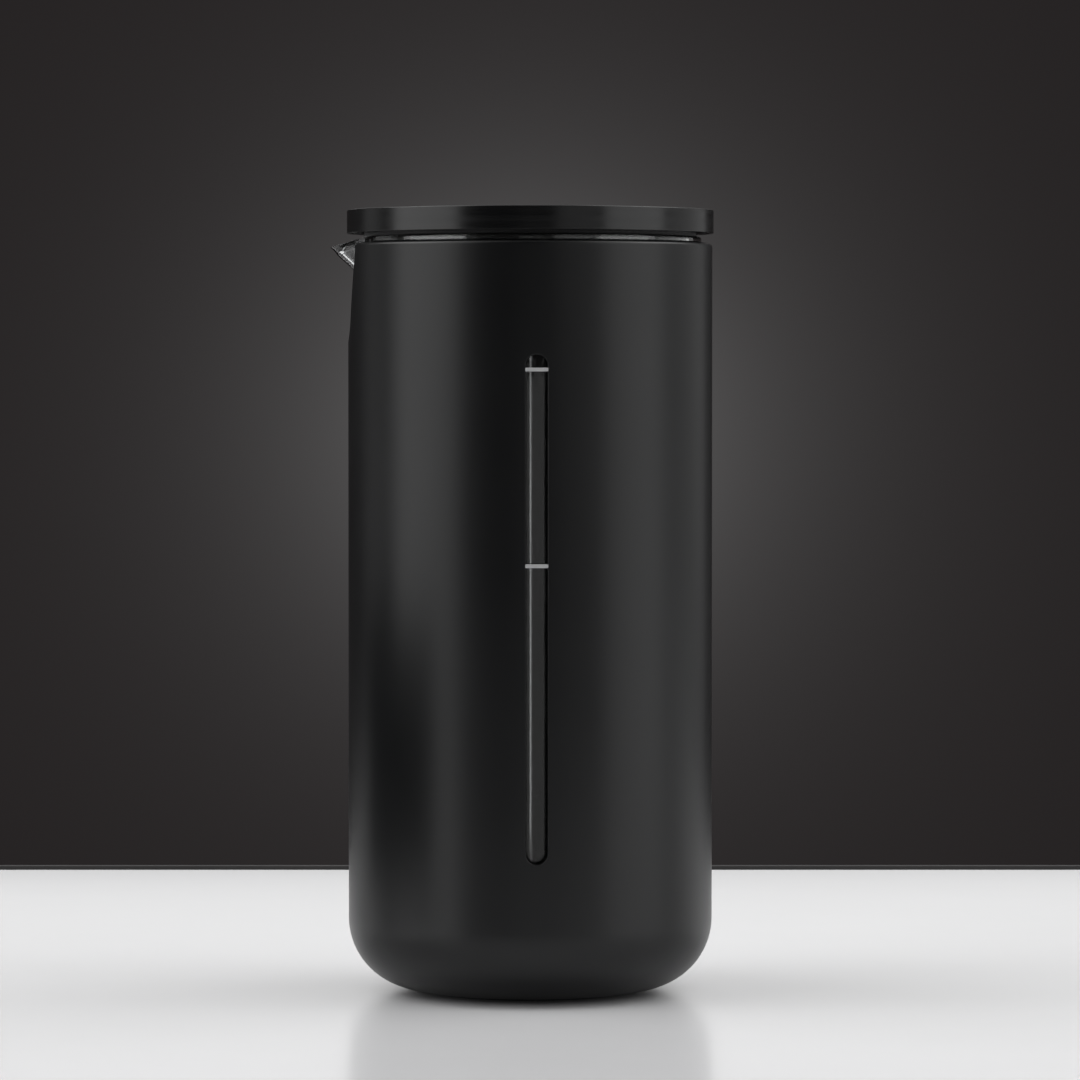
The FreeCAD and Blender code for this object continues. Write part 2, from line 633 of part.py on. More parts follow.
def spring_plate():
    """Stamped plate with windows between its spokes; the coil spring rides on its edge."""
    body = ring(STUD_R + FIT, SPRING_PLATE_R, SPRING_PLATE_Z, HUB_Z)
    half = math.radians(WINDOW_ANGLE / 2)
    window = ring(WINDOW_R_IN, WINDOW_R_OUT, SPRING_PLATE_Z, HUB_Z)
    far = WINDOW_R_OUT * 1.2
    corners = [(0, 0), (far, -far * math.tan(half)), (far, far * math.tan(half)), (0, 0)]
    wedge = Part.Face(Part.makePolygon([Vector(x, y, SPRING_PLATE_Z) for x, y in corners]))
    window = window.common(wedge.extrude(Vector(0, 0, SPRING_PLATE_THICK)))
    for cut in around(window, SPRING_PLATE_WINDOWS):
        body = body.cut(cut)
    return body


def spring_coil():
    """Envelope of the coil spring: a ring of tube, open inwards where the plate's edge enters."""
    section = Part.makeCircle(COIL_R, Vector(COIL_RING_R, 0, COIL_Z), Vector(0, 1, 0))
    hollow = Part.makeCircle(COIL_R - COIL_WIRE, Vector(COIL_RING_R, 0, COIL_Z), Vector(0, 1, 0))
    tube = Part.Face(Part.Wire([section])).revolve(ORIGIN, AXIS, 360)
    tube = tube.cut(Part.Face(Part.Wire([hollow])).revolve(ORIGIN, AXIS, 360))
    mouth = ring(COIL_RING_R - COIL_R * 2, COIL_RING_R, COIL_Z - COIL_MOUTH / 2, COIL_Z + COIL_MOUTH / 2)
    return tube.cut(mouth)


def filter_mesh():
    """Woven filter as a plain dish: a flat middle, a step under the coil and an upright rim."""
    step_in, step_out = MESH_STEP_R, MESH_STEP_R + MESH_THICK + COIL_GAP
    low, wall = MESH_RIM_BOTTOM, MESH_R - MESH_RIM_WALL
    rim_top = low + MESH_RIM_HEIGHT
    return turned([
        (STUD_R + FIT, MESH_Z),
        (step_in, MESH_Z),
        (step_in, low),
        (MESH_R, low),
        (MESH_R, rim_top),
        (wall, rim_top),
        (wall, low + MESH_THICK),
        (step_out, low + MESH_THICK),
        (step_out, MESH_Z + MESH_THICK),
        (STUD_R + FIT, MESH_Z + MESH_THICK),
    ])


def perforated_plate():
    """Round plate with rings of drain holes, under the mesh."""
    body = ring(STUD_R + FIT, PLATE_R, STACK_Z, MESH_Z)
    for i in range(PLATE_HOLE_RINGS):
        ring_r = PLATE_R - PLATE_BORDER - i * PLATE_HOLE_PITCH
        hole = Part.makeCylinder(PLATE_HOLE_R, PLATE_THICK, Vector(ring_r, 0, STACK_Z))
        for cut in around(hole, int(2 * math.pi * ring_r / (PLATE_HOLE_PITCH * 1.25))):
            body = body.cut(cut)
    return body


def hub_nut():
    """Domed hexagon nut under the stack."""
    radius = NUT_ACROSS_FLATS / math.sqrt(3)
    hex_bottom = STACK_Z - NUT_HEX_HEIGHT
    corners = [
        Vector(radius * math.cos(i * math.pi / 3), radius * math.sin(i * math.pi / 3), hex_bottom)
        for i in range(7)
    ]
    hexagon = Part.Face(Part.makePolygon(corners)).extrude(Vector(0, 0, NUT_HEX_HEIGHT))
    # the dome is a cap of a sphere
    sphere_r = (NUT_DOME_R ** 2 + NUT_DOME_HEIGHT ** 2) / (2 * NUT_DOME_HEIGHT)
    centre = hex_bottom - NUT_DOME_HEIGHT + sphere_r
    half = math.degrees(math.asin(NUT_DOME_R / sphere_r)) / 2
    dome = turned([
        (0, hex_bottom - NUT_DOME_HEIGHT),
        (NUT_DOME_R, hex_bottom, *arc_mid(0, centre, sphere_r, half - 90)),
        (0, hex_bottom),
    ])
    bore = ring(0, STUD_R + FIT, STACK_Z - STUD_LENGTH - FIT, STACK_Z)
    return hexagon.fuse(dome).cut(bore).removeSplitter()


# ---------------------------------------------------------------- build
NODES = {
    "outer_shell": outer_shell,
    "foot_pad": foot_pad,
    "base_cushion": base_cushion,
    "lower_band": lambda: band(LOWER_BAND_Z),
    "upper_band": lambda: band(UPPER_BAND_Z, UPPER_BAND_GAP),
    "level_mark_300": lambda: mark_body(MARK_LOW_Z),
    "level_mark_450": lambda: mark_body(MARK_HIGH_Z),
    "glass_beaker": glass_beaker,
    "lid_seat_ring": lid_seat_ring,
    "inner_lid": inner_lid,
    "rod_bush": rod_bush,
    "bush_retainer": bush_retainer,
    "plunger_rod": plunger_rod,
    "disc_cover": disc_cover,
    "disc_core": disc_core,
    "rod_insert": rod_insert,
    "filter_hub": filter_hub,
    "spring_plate": spring_plate,
    "spring_coil": spring_coil,
    "filter_mesh": filter_mesh,
    "perforated_plate": perforated_plate,
    "hub_nut": hub_nut,
}


def main():
    os.makedirs("parts", exist_ok=True)
    for name, build in NODES.items():
        shape = build()
        if not shape.isValid() or not shape.Solids:
            raise RuntimeError(name + " is not a valid solid")
        shape.exportStep(os.path.join("parts", name + ".step"))
        print(f"{name:18s} solids {len(shape.Solids)}  volume {shape.Volume / 1000:8.3f} ml")
    print(f"height {DISC_TOP:.2f}, mouth radius {GLASS_R_IN:.2f}, travel {PLUNGER_TRAVEL:.0f}")


main()
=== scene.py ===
"""Looks of a french press: a matt black sleeve, a glass beaker and a flat disc plunger.

Sizes are in millimetres until a mesh is made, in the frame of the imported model: +Z up, the spout
along -X and the sight slot facing -Y. Angles round the press are counted from the spout, and grow
towards the sight slot, so the slot stands at a quarter turn.
"""

from __future__ import annotations

import logging
import math
from collections.abc import Sequence
from dataclasses import dataclass
from enum import Enum

import bpy
import numpy as np
from mathutils import Matrix, Vector

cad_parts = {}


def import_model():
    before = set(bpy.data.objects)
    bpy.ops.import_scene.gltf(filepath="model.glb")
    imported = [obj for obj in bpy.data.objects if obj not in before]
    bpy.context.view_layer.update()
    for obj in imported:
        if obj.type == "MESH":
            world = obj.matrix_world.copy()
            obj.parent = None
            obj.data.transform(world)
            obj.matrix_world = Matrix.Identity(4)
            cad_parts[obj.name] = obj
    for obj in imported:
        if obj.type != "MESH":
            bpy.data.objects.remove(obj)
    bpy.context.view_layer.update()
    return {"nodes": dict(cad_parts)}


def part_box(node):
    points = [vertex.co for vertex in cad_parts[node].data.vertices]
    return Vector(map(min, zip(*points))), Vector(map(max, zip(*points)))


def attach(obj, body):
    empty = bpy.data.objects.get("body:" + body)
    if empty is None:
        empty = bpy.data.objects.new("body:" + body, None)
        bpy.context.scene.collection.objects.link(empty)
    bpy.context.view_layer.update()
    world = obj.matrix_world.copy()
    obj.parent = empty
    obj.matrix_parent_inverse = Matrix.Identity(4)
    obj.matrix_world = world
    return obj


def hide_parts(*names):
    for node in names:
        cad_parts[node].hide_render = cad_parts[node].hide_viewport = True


log = logging.getLogger("french_press")

MM = 0.001
TURN = 2 * math.pi
QUARTER = math.pi / 2
WORKED = "worked_"  # before a finish's name, because the frame brings a plain material of that name
VECTOR_MATH = "ShaderNodeVectorMath"
MOST_POWER = 40.0  # keeps an exponential within reach
STEEP = 0.9  # past this rise a wire's ring is laid out from another direction
TINY = 1e-6
FAR_BACK = -1e3  # where the spout's line is left out


# ------------------------------------------------------------------ shapes
def corners_mm(node: str) -> tuple[np.ndarray, np.ndarray]:
    """Box of a CAD node.

    Args:
        node: name of the node.

    Returns:
        Its lowest and highest corner, in millimetres.
    """
    low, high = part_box(node)
    return np.array(low) / MM, np.array(high) / MM


def smooth_step(value: np.ndarray) -> np.ndarray:
    """Three times the square less twice the cube, of a value held between 0 and 1."""
    share = np.clip(value, 0.0, 1.0)
    return share * share * (3 - 2 * share)


def soft_ramp(value: np.ndarray, ease: float) -> np.ndarray:
    """About 0 below 0 and the value above it: ease times the log of one plus e to the value over ease."""
    return ease * np.log1p(np.exp(np.clip(value / ease, -MOST_POWER, MOST_POWER)))


def distances(points: np.ndarray) -> np.ndarray:
    """Distance of each point from the first, along their line."""
    return np.concatenate([[0], np.cumsum(np.linalg.norm(np.diff(points, axis=0), axis=1))])


def stretches(stops: Sequence[float], counts: Sequence[int]) -> np.ndarray:
    """Numbers from the first stop to the last, with each count of even steps between two stops."""
    parts = [np.linspace(a, b, n, endpoint=False) for a, b, n in zip(stops, stops[1:], counts)]
    return np.concatenate([*parts, [stops[-1]]])


def rounded(corners: Sequence[tuple[float, float, float]], steps: int = 5) -> np.ndarray:
    """Outline whose corners are arcs; an open one has a radius of 0 at both ends.

    Each corner is cut where its two sides touch a circle of the corner's radius: that is the radius
    over the tangent of half the corner's angle away from it. The arc's points turn evenly about the
    circle's centre.

    Args:
        corners: (a, b, radius) of each corner; a radius of 0 keeps the corner sharp.
        steps: how many spans an arc has.

    Returns:
        The outline's points, one row each.
    """
    spots = np.array([corner[:2] for corner in corners], float)
    points: list[np.ndarray] = []
    for i, (_, _, radius) in enumerate(corners):
        here = spots[i]
        if radius <= 0:
            points.append(here[None, :])
            continue
        back = spots[i - 1] - here
        ahead = spots[(i + 1) % len(corners)] - here
        back, ahead = back / np.linalg.norm(back), ahead / np.linalg.norm(ahead)
        half = math.acos(float(np.clip(back @ ahead, -1, 1))) / 2
        centre = here + (back + ahead) / np.linalg.norm(back + ahead) * radius / math.sin(half)
        first = here + back * radius / math.tan(half) - centre
        last = here + ahead * radius / math.tan(half) - centre
        share = np.linspace(0, 1, steps + 1)[:, None]
        sweep = math.pi - 2 * half
        arc = (np.sin((1 - share) * sweep) * first + np.sin(share * sweep) * last) / math.sin(sweep)
        points.append(centre + arc)
    return np.vstack(points)


def resampled(points: np.ndarray, count: int) -> np.ndarray:
    """A count of points evenly spaced along a line, from its first point to its last."""
    along = distances(points)
    wanted = np.linspace(0, along[-1], count)
    return np.stack([np.interp(wanted, along, points[:, i]) for i in range(points.shape[1])], axis=1)


class Surface:
    """Points and faces of one piece, gathered patch by patch, in millimetres."""

    def __init__(self) -> None:
        """Starts with no points and no faces."""
        self.points: list[np.ndarray] = []
        self.faces: list[np.ndarray] = []
        self.count = 0

    def add(self, points: np.ndarray) -> np.ndarray:
        """Takes in points of any array shape and returns their numbers in the same shape."""
        flat = np.asarray(points, float).reshape(-1, 3)
        numbers = np.arange(self.count, self.count + len(flat)).reshape(np.shape(points)[:-1])
        self.points.append(flat)
        self.count += len(flat)
        return numbers

    def weave(self, numbers: np.ndarray, wrap: bool, keep: np.ndarray | None = None) -> None:
        """Covers a grid of point numbers with quads.

        Args:
            numbers: the grid, rows by columns; a quad runs along its row first, then to the next row.
            wrap: whether the last column joins the first.
            keep: which quads to make, rows less one by columns; all of them if left out.
        """
        ahead = np.roll(numbers, -1, axis=1) if wrap else numbers[:, 1:]
        here = numbers if wrap else numbers[:, :-1]
        quads = np.stack([here[:-1], ahead[:-1], ahead[1:], here[1:]], axis=-1)
        self.faces.append(quads.reshape(-1, 4) if keep is None else quads[keep])

    def fan(self, ring: np.ndarray, pole: Sequence[float]) -> None:
        """Closes a ring of point numbers with triangles to one point, turned as the ring runs."""
        top = self.add(np.array([pole], float))[0]
        self.faces.append(np.stack([ring, np.roll(ring, -1), np.full_like(ring, top)], axis=-1))

    def normals(self) -> np.ndarray:
        """Direction at each point: the sum of its faces' normals, each weighted by the face's area.

        A face's normal is the cross product of its diagonals; a triangle's last side stands in for
        the second one.
        """
        spots = np.vstack(self.points)
        total = np.zeros_like(spots)
        for faces in self.faces:
            corners = spots[faces]
            area = np.cross(corners[:, 2] - corners[:, 0], corners[:, -1] - corners[:, 1])
            for i in range(faces.shape[1]):
                np.add.at(total, faces[:, i], area)
        length = np.linalg.norm(total, axis=1, keepdims=True)
        return total / np.where(length > 0, length, 1)

    def build(self, name: str, steady: bool = True) -> bpy.types.Object:
        """Makes the object, with its place in its mesh.

        Args:
            name: the piece's name.
            steady: whether the shading follows the faces' areas, which keeps flat stretches flat.

        Returns:
            The new object, linked to the scene.
        """
        mesh = bpy.data.meshes.new(name)
        faces = [face for block in self.faces for face in block.tolist()]
        mesh.from_pydata((np.vstack(self.points) * MM).tolist(), [], faces)
        mesh.validate()
        mesh.shade_smooth()
        if steady:
            mesh.normals_split_custom_set_from_vertices(self.normals().tolist())
        piece = bpy.data.objects.new(name, mesh)
        bpy.context.scene.collection.objects.link(piece)
        return piece


def spun(radius: np.ndarray, height: np.ndarray, angles: np.ndarray) -> np.ndarray:
    """Points of a surface of revolution: the radius times the angle's cosine and sine, and the height.

    Args:
        radius: radius of each row.
        height: height of each row.
        angles: angle of each column, from the spout.

    Returns:
        A grid of points, rows by columns.
    """
    x, y = -radius[:, None] * np.cos(angles), -radius[:, None] * np.sin(angles)
    return np.stack(np.broadcast_arrays(x, y, height[:, None]), axis=-1)


def tube(surface: Surface, path: np.ndarray, radius: float, sides: int, closed: bool = False) -> None:
    """Round wire along a path.

    At each point of the path the wire's ring lies square to the path's direction, which is the
    difference of the two neighbours; its two axes are the cross products with the up direction.

    Args:
        surface: takes the faces.
        path: the path's points.
        radius: the wire's radius.
        sides: how many flats the wire has.
        closed: whether the path is a loop.
    """
    along = np.roll(path, -1, axis=0) - np.roll(path, 1, axis=0) if closed else np.gradient(path, axis=0)
    along /= np.linalg.norm(along, axis=1, keepdims=True)
    guide = np.where(np.abs(along[:, 2:]) < STEEP, [[0.0, 0.0, 1.0]], [[1.0, 0.0, 0.0]])
    side = np.cross(along, guide)
    side /= np.linalg.norm(side, axis=1, keepdims=True)
    top = np.cross(along, side)
    angles = np.arange(sides)[:, None] * TURN / sides
    rings = path[:, None] + radius * (np.cos(angles) * side[:, None] + np.sin(angles) * top[:, None])
    numbers = surface.add(rings)
    if closed:
        surface.weave(np.vstack([numbers, numbers[:1]]), wrap=True)
        return
    surface.weave(numbers, wrap=True)
    surface.fan(numbers[0][::-1], path[0])
    surface.fan(numbers[-1], path[-1])


# ------------------------------------------------------------------ finishes
class Wire:
    """Lays nodes and links in a node tree."""

    def __init__(self, tree: bpy.types.NodeTree) -> None:
        """Keeps the tree that the nodes go in."""
        self.tree = tree

    def put(self, target: bpy.types.NodeSocket, value: object) -> None:
        """Gives an input its value, or joins the output that gives it."""
        if isinstance(value, bpy.types.NodeSocket):
            self.tree.links.new(value, target)
        else:
            target.default_value = value

    def fill(self, made: bpy.types.Node, **values: object) -> None:
        """Gives a node's inputs, by name with _ for a blank, their values or outputs."""
        for name, value in values.items():
            self.put(made.inputs[name.replace("_", " ")], value)

    def node(self, kind: str, **settings: object) -> bpy.types.Node:
        """Adds a node.

        Args:
            kind: the node's type.
            **settings: its properties, then its inputs as fill takes them.

        Returns:
            The node.
        """
        made = self.tree.nodes.new(kind)
        for name, value in settings.items():
            if hasattr(made, name):
                setattr(made, name, value)
            else:
                self.fill(made, **{name: value})
        return made

    def maths(self, operation: str, *values: object, kind: str = "ShaderNodeMath") -> bpy.types.NodeSocket:
        """Adds a Math or Vector Math node, its inputs in order, and returns the output that it uses."""
        made = self.node(kind, operation=operation)
        for socket, value in zip(made.inputs, values):
            self.put(socket, value)
        return next(socket for socket in made.outputs if socket.enabled)

    def place(self) -> bpy.types.NodeSocket:
        """The shaded point's place on its piece."""
        return self.node("ShaderNodeTexCoord").outputs["Object"]

    def noise(self, **settings: object) -> bpy.types.NodeSocket:
        """Adds noise, its inputs as fill takes them, and returns its value."""
        return self.node("ShaderNodeTexNoise", **settings).outputs["Fac"]

    def step(
        self, value: bpy.types.NodeSocket, start: float, end: float, most: float = 1.0
    ) -> bpy.types.NodeSocket:
        """Smooth step of a value, from 0 at start to most at end."""
        ends = {"From_Min": start, "From_Max": end, "To_Max": most}
        made = self.node("ShaderNodeMapRange", interpolation_type="SMOOTHSTEP", Value=value, **ends)
        return made.outputs["Result"]

    def tint(self, colour: Sequence[float], other: Sequence[float], share: object) -> bpy.types.NodeSocket:
        """Mixes two colours, all the first where the share is 0 and all the other where it is 1."""
        ends = {"A": (*colour, 1), "B": (*other, 1)}
        return self.node("ShaderNodeMix", data_type="RGBA", Factor=share, **ends).outputs["Result"]

    def relief(self, height: bpy.types.NodeSocket, depth: float) -> bpy.types.NodeSocket:
        """Bump from a height whose full range is a depth in millimetres."""
        return self.node("ShaderNodeBump", Strength=1.0, Distance=depth * MM, Height=height).outputs["Normal"]


def new_material(name: str) -> tuple[bpy.types.Material, Wire, bpy.types.Node]:
    """Makes a material with nodes, and gives it, its wiring and its shader."""
    made = bpy.data.materials.new(name)
    made.use_nodes = True
    return made, Wire(made.node_tree), made.node_tree.nodes["Principled BSDF"]


class Effect(Enum):
    """Surface effects that several finishes share, each a node group made once."""

    GRAIN = "moulded_grain"
    TURNED = "turned_lines"
    HANDLING = "handling_marks"


def new_group(effect: Effect, inputs: dict[str, float], outputs: Sequence[str]) -> tuple[Wire, dict, dict]:
    """Makes a node group's shell.

    Args:
        effect: which effect it holds.
        inputs: the names and usual values of its inputs.
        outputs: the names of its outputs.

    Returns:
        The group's wiring, its inputs by name and its output sockets by name.
    """
    tree = bpy.data.node_groups.new(effect.value, "ShaderNodeTree")
    for name, value in inputs.items():
        tree.interface.new_socket(name, in_out="INPUT", socket_type="NodeSocketFloat").default_value = value
    for name in outputs:
        tree.interface.new_socket(name, in_out="OUTPUT", socket_type="NodeSocketFloat")
    wire = Wire(tree)
    entry, leave = wire.node("NodeGroupInput"), wire.node("NodeGroupOutput")
    return wire, {s.name: s for s in entry.outputs if s.name}, {s.name: s for s in leave.inputs if s.name}


def grain_group() -> bpy.types.NodeTree:
    """Fine moulded texture: noise at the grain's size, and slow noise that varies its shine."""
    wire, given, out = new_group(Effect.GRAIN, {"Size mm": 0.4}, ("Height", "Shade"))
    place = wire.place()
    scale = wire.maths("DIVIDE", 1 / MM, given["Size mm"])
    wire.put(out["Height"], wire.noise(Vector=place, Scale=scale, Detail=3.0, Roughness=0.6))
    wire.put(out["Shade"], wire.noise(Vector=place, Scale=28.0, Detail=4.0, Roughness=0.55))
    return wire.tree


def turned_group() -> bpy.types.NodeTree:
    """Lines that a lathe leaves: noise that changes fast with radius and height and slowly with angle."""
    wire, given, out = new_group(Effect.TURNED, {"Pitch mm": 0.2}, ("Height", "Streak"))
    place = wire.place()
    x, y, z = wire.node("ShaderNodeSeparateXYZ", Vector=place).outputs
    radius = wire.maths("SQRT", wire.maths("ADD", wire.maths("MULTIPLY", x, x), wire.maths("MULTIPLY", y, y)))
    across = wire.node("ShaderNodeCombineXYZ", X=radius, Y=z).outputs["Vector"]
    scale = wire.maths("DIVIDE", 1 / MM, given["Pitch mm"])
    lines = wire.noise(Vector=across, Scale=scale, Detail=2.0, Roughness=0.7)
    drift = wire.maths("MULTIPLY", place, (0.02, 0.02, 1.0), kind=VECTOR_MATH)
    broad = wire.noise(Vector=drift, Scale=900.0, Detail=2.0)
    wire.put(out["Height"], lines)
    wire.put(out["Streak"], wire.maths("MULTIPLY", lines, broad))
    return wire.tree


def handling_group() -> bpy.types.NodeTree:
    """Faint smears of handling: stretched noise cut to its upper part, broken by finer noise."""
    wire, given, out = new_group(Effect.HANDLING, {"Amount": 0.5}, ("Mask",))
    place = wire.place()
    smear = wire.noise(Vector=place, Scale=16.0, Detail=5.0, Roughness=0.62, Distortion=0.8)
    fine = wire.noise(Vector=place, Scale=190.0, Detail=3.0)
    broken = wire.maths("MULTIPLY", wire.step(smear, 0.48, 0.72), fine)
    wire.put(out["Mask"], wire.maths("MULTIPLY", broken, given["Amount"]))
    return wire.tree


GROUP_MAKERS = {Effect.GRAIN: grain_group, Effect.TURNED: turned_group, Effect.HANDLING: handling_group}


def effect(wire: Wire, kind: Effect, **values: float) -> bpy.types.Node:
    """Places a shared effect in a material.

    Args:
        wire: the material's wiring.
        kind: which effect.
        **values: its inputs by name, with _ for a blank.

    Returns:
        The group node.
    """
    tree = bpy.data.node_groups.get(kind.value) or GROUP_MAKERS[kind]()
    return wire.node("ShaderNodeGroup", node_tree=tree, **values)


@dataclass(frozen=True)
class Finish:
    """One finish: its colour, shine and the strength of its surface effects.

    A worked finish has moulded grain, or turned lines where pitch is set. Its colour runs from
    colour to worn, and its roughness rises with the grain's shade and the marks of handling.
    """

    name: str
    colour: tuple[float, float, float]
    worn: tuple[float, float, float]
    roughness: float
    spread: float = 0.08
    metallic: float = 0.0
    specular: float = 0.5
    anisotropy: float = 0.0
    grain: float = 0.4
    pitch: float = 0.0
    bump: float = 0.02
    handling: float = 0.4
    sheen: float = 0.0
    subsurface: float = 0.0

    def material(self) -> bpy.types.Material:
        """Builds the finish."""
        made, wire, shader = new_material(WORKED + self.name)
        if self.pitch:
            worked = effect(wire, Effect.TURNED, Pitch_mm=self.pitch)
            shade = worked.outputs["Streak"]
        else:
            worked = effect(wire, Effect.GRAIN, Size_mm=self.grain)
            shade = worked.outputs["Shade"]
        marks = effect(wire, Effect.HANDLING, Amount=self.handling)
        swing = wire.maths("MULTIPLY", wire.maths("ADD", shade, marks.outputs["Mask"]), self.spread)
        wire.fill(
            shader,
            Base_Color=wire.tint(self.colour, self.worn, shade),
            Roughness=wire.maths("ADD", swing, self.roughness - self.spread / 2),
            Normal=wire.relief(worked.outputs["Height"], self.bump),
            Metallic=self.metallic,
            Specular_IOR_Level=self.specular,
            Anisotropic=self.anisotropy,
            Sheen_Weight=self.sheen,
            Subsurface_Weight=self.subsurface,
        )
        made.diffuse_color = (*self.colour, 1)
        return made


@dataclass(frozen=True)
class ClearGlass:
    """Borosilicate glass: clear, smooth, with the faintest waviness of drawn tube and film of use."""

    name: str = "clear_glass"
    colour: tuple[float, float, float] = (0.965, 0.985, 0.98)
    index: float = 1.473
    roughness: float = 0.012
    handling: float = 0.5
    film: float = 0.05
    wave: float = 0.02
    wave_length: float = 9.0

    def material(self) -> bpy.types.Material:
        """Builds the glass."""
        made, wire, shader = new_material(WORKED + self.name)
        marks = effect(wire, Effect.HANDLING, Amount=self.handling)
        wave = effect(wire, Effect.GRAIN, Size_mm=self.wave_length)
        film = wire.maths("MULTIPLY", marks.outputs["Mask"], self.film)
        wire.fill(
            shader,
            Base_Color=(*self.colour, 1),
            Metallic=0.0,
            Transmission_Weight=1.0,
            IOR=self.index,
            Roughness=wire.maths("ADD", film, self.roughness),
            Normal=wire.relief(wave.outputs["Height"], self.wave),
        )
        made.diffuse_color = (*self.colour, 0.35)
        return made


SLEEVE_BLACK = Finish(
    "sleeve_black", (0.0020, 0.0022, 0.0025), (0.0034, 0.0037, 0.0041), 0.33,
    specular=0.37, grain=0.35, bump=0.009, handling=0.3,
)
DISC_BLACK = Finish(
    "disc_black", (0.0020, 0.0022, 0.0024), (0.0070, 0.0073, 0.0077), 0.27,
    specular=0.40, spread=0.24, anisotropy=0.40, pitch=0.45, bump=0.010, handling=0.35,
)
LID_BLACK = Finish(
    "lid_black", (0.0060, 0.0062, 0.0065), (0.0100, 0.0102, 0.0105), 0.40, grain=0.35, bump=0.010
)
SILICONE_BLACK = Finish(
    "silicone_black", (0.017, 0.017, 0.018), (0.028, 0.028, 0.029), 0.62,
    specular=0.4, grain=0.6, bump=0.012, sheen=0.25,
)
SILICONE_GREY = Finish(
    "silicone_grey", (0.13, 0.13, 0.135), (0.17, 0.17, 0.175), 0.58,
    specular=0.4, grain=0.6, bump=0.012, sheen=0.2, subsurface=0.05,
)
MARK_GREY = Finish(
    "mark_grey", (0.42, 0.425, 0.43), (0.50, 0.505, 0.51), 0.38, grain=0.2, bump=0.004, handling=0.2
)
BUSH_NATURAL = Finish(
    "bush_natural", (0.74, 0.72, 0.67), (0.80, 0.78, 0.74), 0.40, grain=0.5, bump=0.006, subsurface=0.15
)
ROD_STEEL = Finish(
    "rod_steel", (0.60, 0.60, 0.61), (0.68, 0.68, 0.69), 0.20,
    spread=0.10, metallic=1.0, anisotropy=0.3, pitch=0.30, bump=0.0012, handling=0.3,
)
FILTER_STEEL = Finish(
    "filter_steel", (0.56, 0.56, 0.565), (0.66, 0.66, 0.665), 0.30,
    spread=0.14, metallic=1.0, anisotropy=0.4, pitch=0.30, bump=0.002, handling=0.5,
)
SPRING_STEEL = Finish(
    "spring_steel", (0.58, 0.585, 0.59), (0.66, 0.665, 0.67), 0.24, metallic=1.0, grain=0.5, bump=0.004
)
MESH_STEEL = Finish(
    "mesh_steel", (0.50, 0.50, 0.505), (0.62, 0.62, 0.625), 0.30, metallic=1.0, grain=0.5, bump=0.004
)
INSERT_BRASS = Finish(
    "insert_brass", (0.70, 0.50, 0.22), (0.78, 0.58, 0.28), 0.30,
    spread=0.12, metallic=1.0, anisotropy=0.4, pitch=0.30, bump=0.002,
)
CLEAR_GLASS = ClearGlass()


# ------------------------------------------------------------------ pieces
class Body(Enum):
    """The bodies that new pieces ride on."""

    SHELL = "shell"
    BEAKER = "beaker"
    PLUNGER = "plunger"


def cover(piece: bpy.types.Object, finish: Finish | ClearGlass) -> None:
    """Covers a piece in a finish, built the first time; its name is the record's slot."""
    piece.data.materials.clear()
    piece.data.materials.append(bpy.data.materials.get(WORKED + finish.name) or finish.material())


def dress(piece: bpy.types.Object, finish: Finish | ClearGlass, body: Body, node: str) -> None:
    """Gives a new piece its body and finish, and hides the CAD node that it stands for.

    Args:
        piece: the piece, in place.
        finish: what it is made of.
        body: what it moves with.
        node: the node that it stands for.
    """
    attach(piece, body.value)
    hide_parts(node)
    cover(piece, finish)
    log.info("%s: %d faces, stands for %s", piece.name, len(piece.data.polygons), node)


def redress(frame: dict, node: str, finish: Finish | ClearGlass) -> None:
    """Gives a CAD node that stays its finish."""
    cover(frame["nodes"][node], finish)
    log.info("%s: kept, in %s", node, finish.name)


